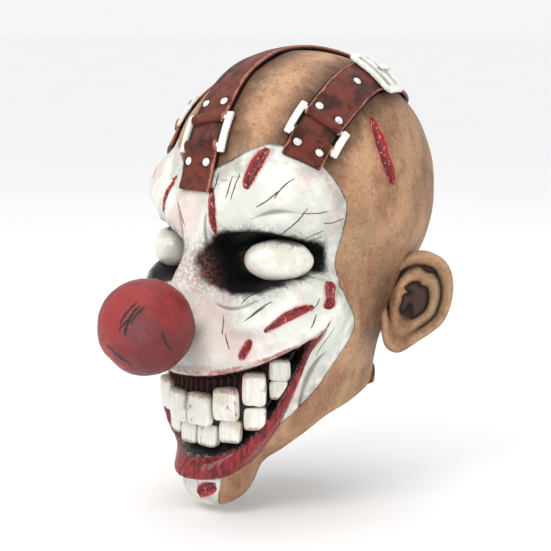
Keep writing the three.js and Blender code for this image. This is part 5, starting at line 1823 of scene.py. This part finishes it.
dome = geo("GeometryNodeMeshUVSphere", {"Segments": 28, "Rings": 14, "Radius": 0.5}).outputs["Mesh"]
dome_size = scale_of(given["Diameter"], grown("Height", 2.0))
dome = geo("GeometryNodeTransform", {"Geometry": dome, "Scale": dome_size}).outputs[0]
collar = geo("GeometryNodeMeshUVSphere",
             {"Segments": 28, "Rings": 10, "Radius": 0.5}).outputs["Mesh"]
collar_size = scale_of(grown("Diameter", 1.28), grown("Collar", 2.6))
collar = geo("GeometryNodeTransform", {"Geometry": collar, "Scale": collar_size}).outputs[0]
join = geo("GeometryNodeJoinGeometry")
rivet_tree.links.new(collar, join.inputs[0])
rivet_tree.links.new(dome, join.inputs[0])
one_rivet = geo("GeometryNodeSetShadeSmooth", {"Geometry": join.outputs[0]}).outputs[0]
way = geo("GeometryNodeInputNamedAttribute", {"Name": "way_out"},
          data_type="FLOAT_VECTOR").outputs[0]
upright = geo("FunctionNodeAlignRotationToVector", {"Vector": way}, axis="Z").outputs[0]
placed = geo("GeometryNodeInstanceOnPoints",
             {"Points": given["Places"], "Instance": one_rivet, "Rotation": upright})
real = geo("GeometryNodeRealizeInstances", {"Geometry": placed.outputs[0]}).outputs[0]
metal_set = geo("GeometryNodeSetMaterial", {"Geometry": real, "Material": enamel}).outputs[0]
feed(rivet_tree, result["Rivets"], metal_set)

# %% Make the rivets real
rivets = show("rivets_domed", spots)
maker = rivets.modifiers.new("rivets", "NODES")
maker.node_group = rivet_tree
for item in rivet_tree.interface.items_tree:
    if item.item_type == "SOCKET" and item.in_out == "INPUT" and item.name == "Collar":
        maker[item.identifier] = RIVET_COLLAR * MM
settle(rivets)
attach(rivets, "root")
rivet_nodes = sorted(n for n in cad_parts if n.startswith("rivet_"))
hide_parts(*rivet_nodes)
print("rivets replace", len(rivet_nodes), "solids,", len(rivets.data.polygons), "faces")

# %% [markdown]
# ## Floor, light and camera
# The mask is shown over a plain pale floor, in the soft light of a photographer's tent: one large
# lamp high in front, a weak fill on the wearer's left, and one overhead, a little behind. The
# camera stands at the photograph's angle, a little above the eyes and about forty degrees to the
# wearer's left.

# %% Stage
card, tree, shader, place = new_material("pale_card")
card_tone = noise(tree, place, 3.0, 3.0, 0.5)
feed(tree, shader.inputs["Base Color"],
     blend_colours(tree, card_tone, paint(254, 254, 254), paint(250, 250, 250)))
feed(tree, shader.inputs["Roughness"], fade(tree, card_tone, 0.3, 0.7, 0.8, 0.9))
bpy.context.scene.view_settings.view_transform = "Standard"
FLOOR_Z = float(cad_box[0][2]) - 0.004
FLOOR_REACH = 30
TENT_LIGHT = 0.92
floor_mesh = bpy.data.meshes.new("floor")
corners = [(-1, -1), (1, -1), (1, 1), (-1, 1)]
floor_mesh.from_pydata([(x * FLOOR_REACH, y * FLOOR_REACH, FLOOR_Z) for x, y in corners], [],
                       [(0, 1, 2, 3)])
floor = show("floor", floor_mesh, card)
world = bpy.data.worlds.new("tent")
bpy.context.scene.world = world
world.use_nodes = True
world.node_tree.nodes["Background"].inputs["Color"].default_value = (1, 1, 1, 1)
world.node_tree.nodes["Background"].inputs["Strength"].default_value = TENT_LIGHT
print("floor at", round(FLOOR_Z, 4), "m")


# %% Lamps and camera
def aim_at(thing, place, target):
    thing.location = place
    thing.rotation_euler = (Vector(target) - Vector(place)).to_track_quat("-Z", "Y").to_euler()


def lamp(name, place, size, watts):
    data = bpy.data.lights.new(name, "AREA")
    data.shape, data.size, data.energy = "DISK", size, watts
    light = bpy.data.objects.new(name, data)
    bpy.context.scene.collection.objects.link(light)
    aim_at(light, place, (0, 0, -0.16))


lamp("key", (0.1, -1.3, 1.0), 0.8, 9)
lamp("fill", (1.4, -0.5, 0.2), 1.2, 2)
lamp("top", (-0.3, 0.5, 1.3), 1.0, 5)

CAMERA_TURN, CAMERA_LIFT, CAMERA_AWAY, FOCAL = math.radians(43), math.radians(9), 1.25, 104.6
right = np.array([math.cos(CAMERA_TURN), math.sin(CAMERA_TURN), 0])
level = math.cos(CAMERA_LIFT)
back = np.array([math.sin(CAMERA_TURN) * level, -math.cos(CAMERA_TURN) * level,
                 math.sin(CAMERA_LIFT)])
aim = -0.0136 * right + np.array([0, 0, -0.1715])
camera_data = bpy.data.cameras.new("camera")
camera_data.sensor_width, camera_data.lens = 36.0, FOCAL
camera = bpy.data.objects.new("camera", camera_data)
bpy.context.scene.collection.objects.link(camera)
aim_at(camera, tuple(aim + back * CAMERA_AWAY), tuple(aim))
bpy.context.scene.camera = camera
print("camera at", [round(v, 3) for v in camera.location])

# %% [markdown]
# ## Sizes and the end
# The size of the plain solids is printed at the end.

# %% Write the sizes and finish
print("solids:", [[round(v, 4) for v in corner] for corner in cad_box])
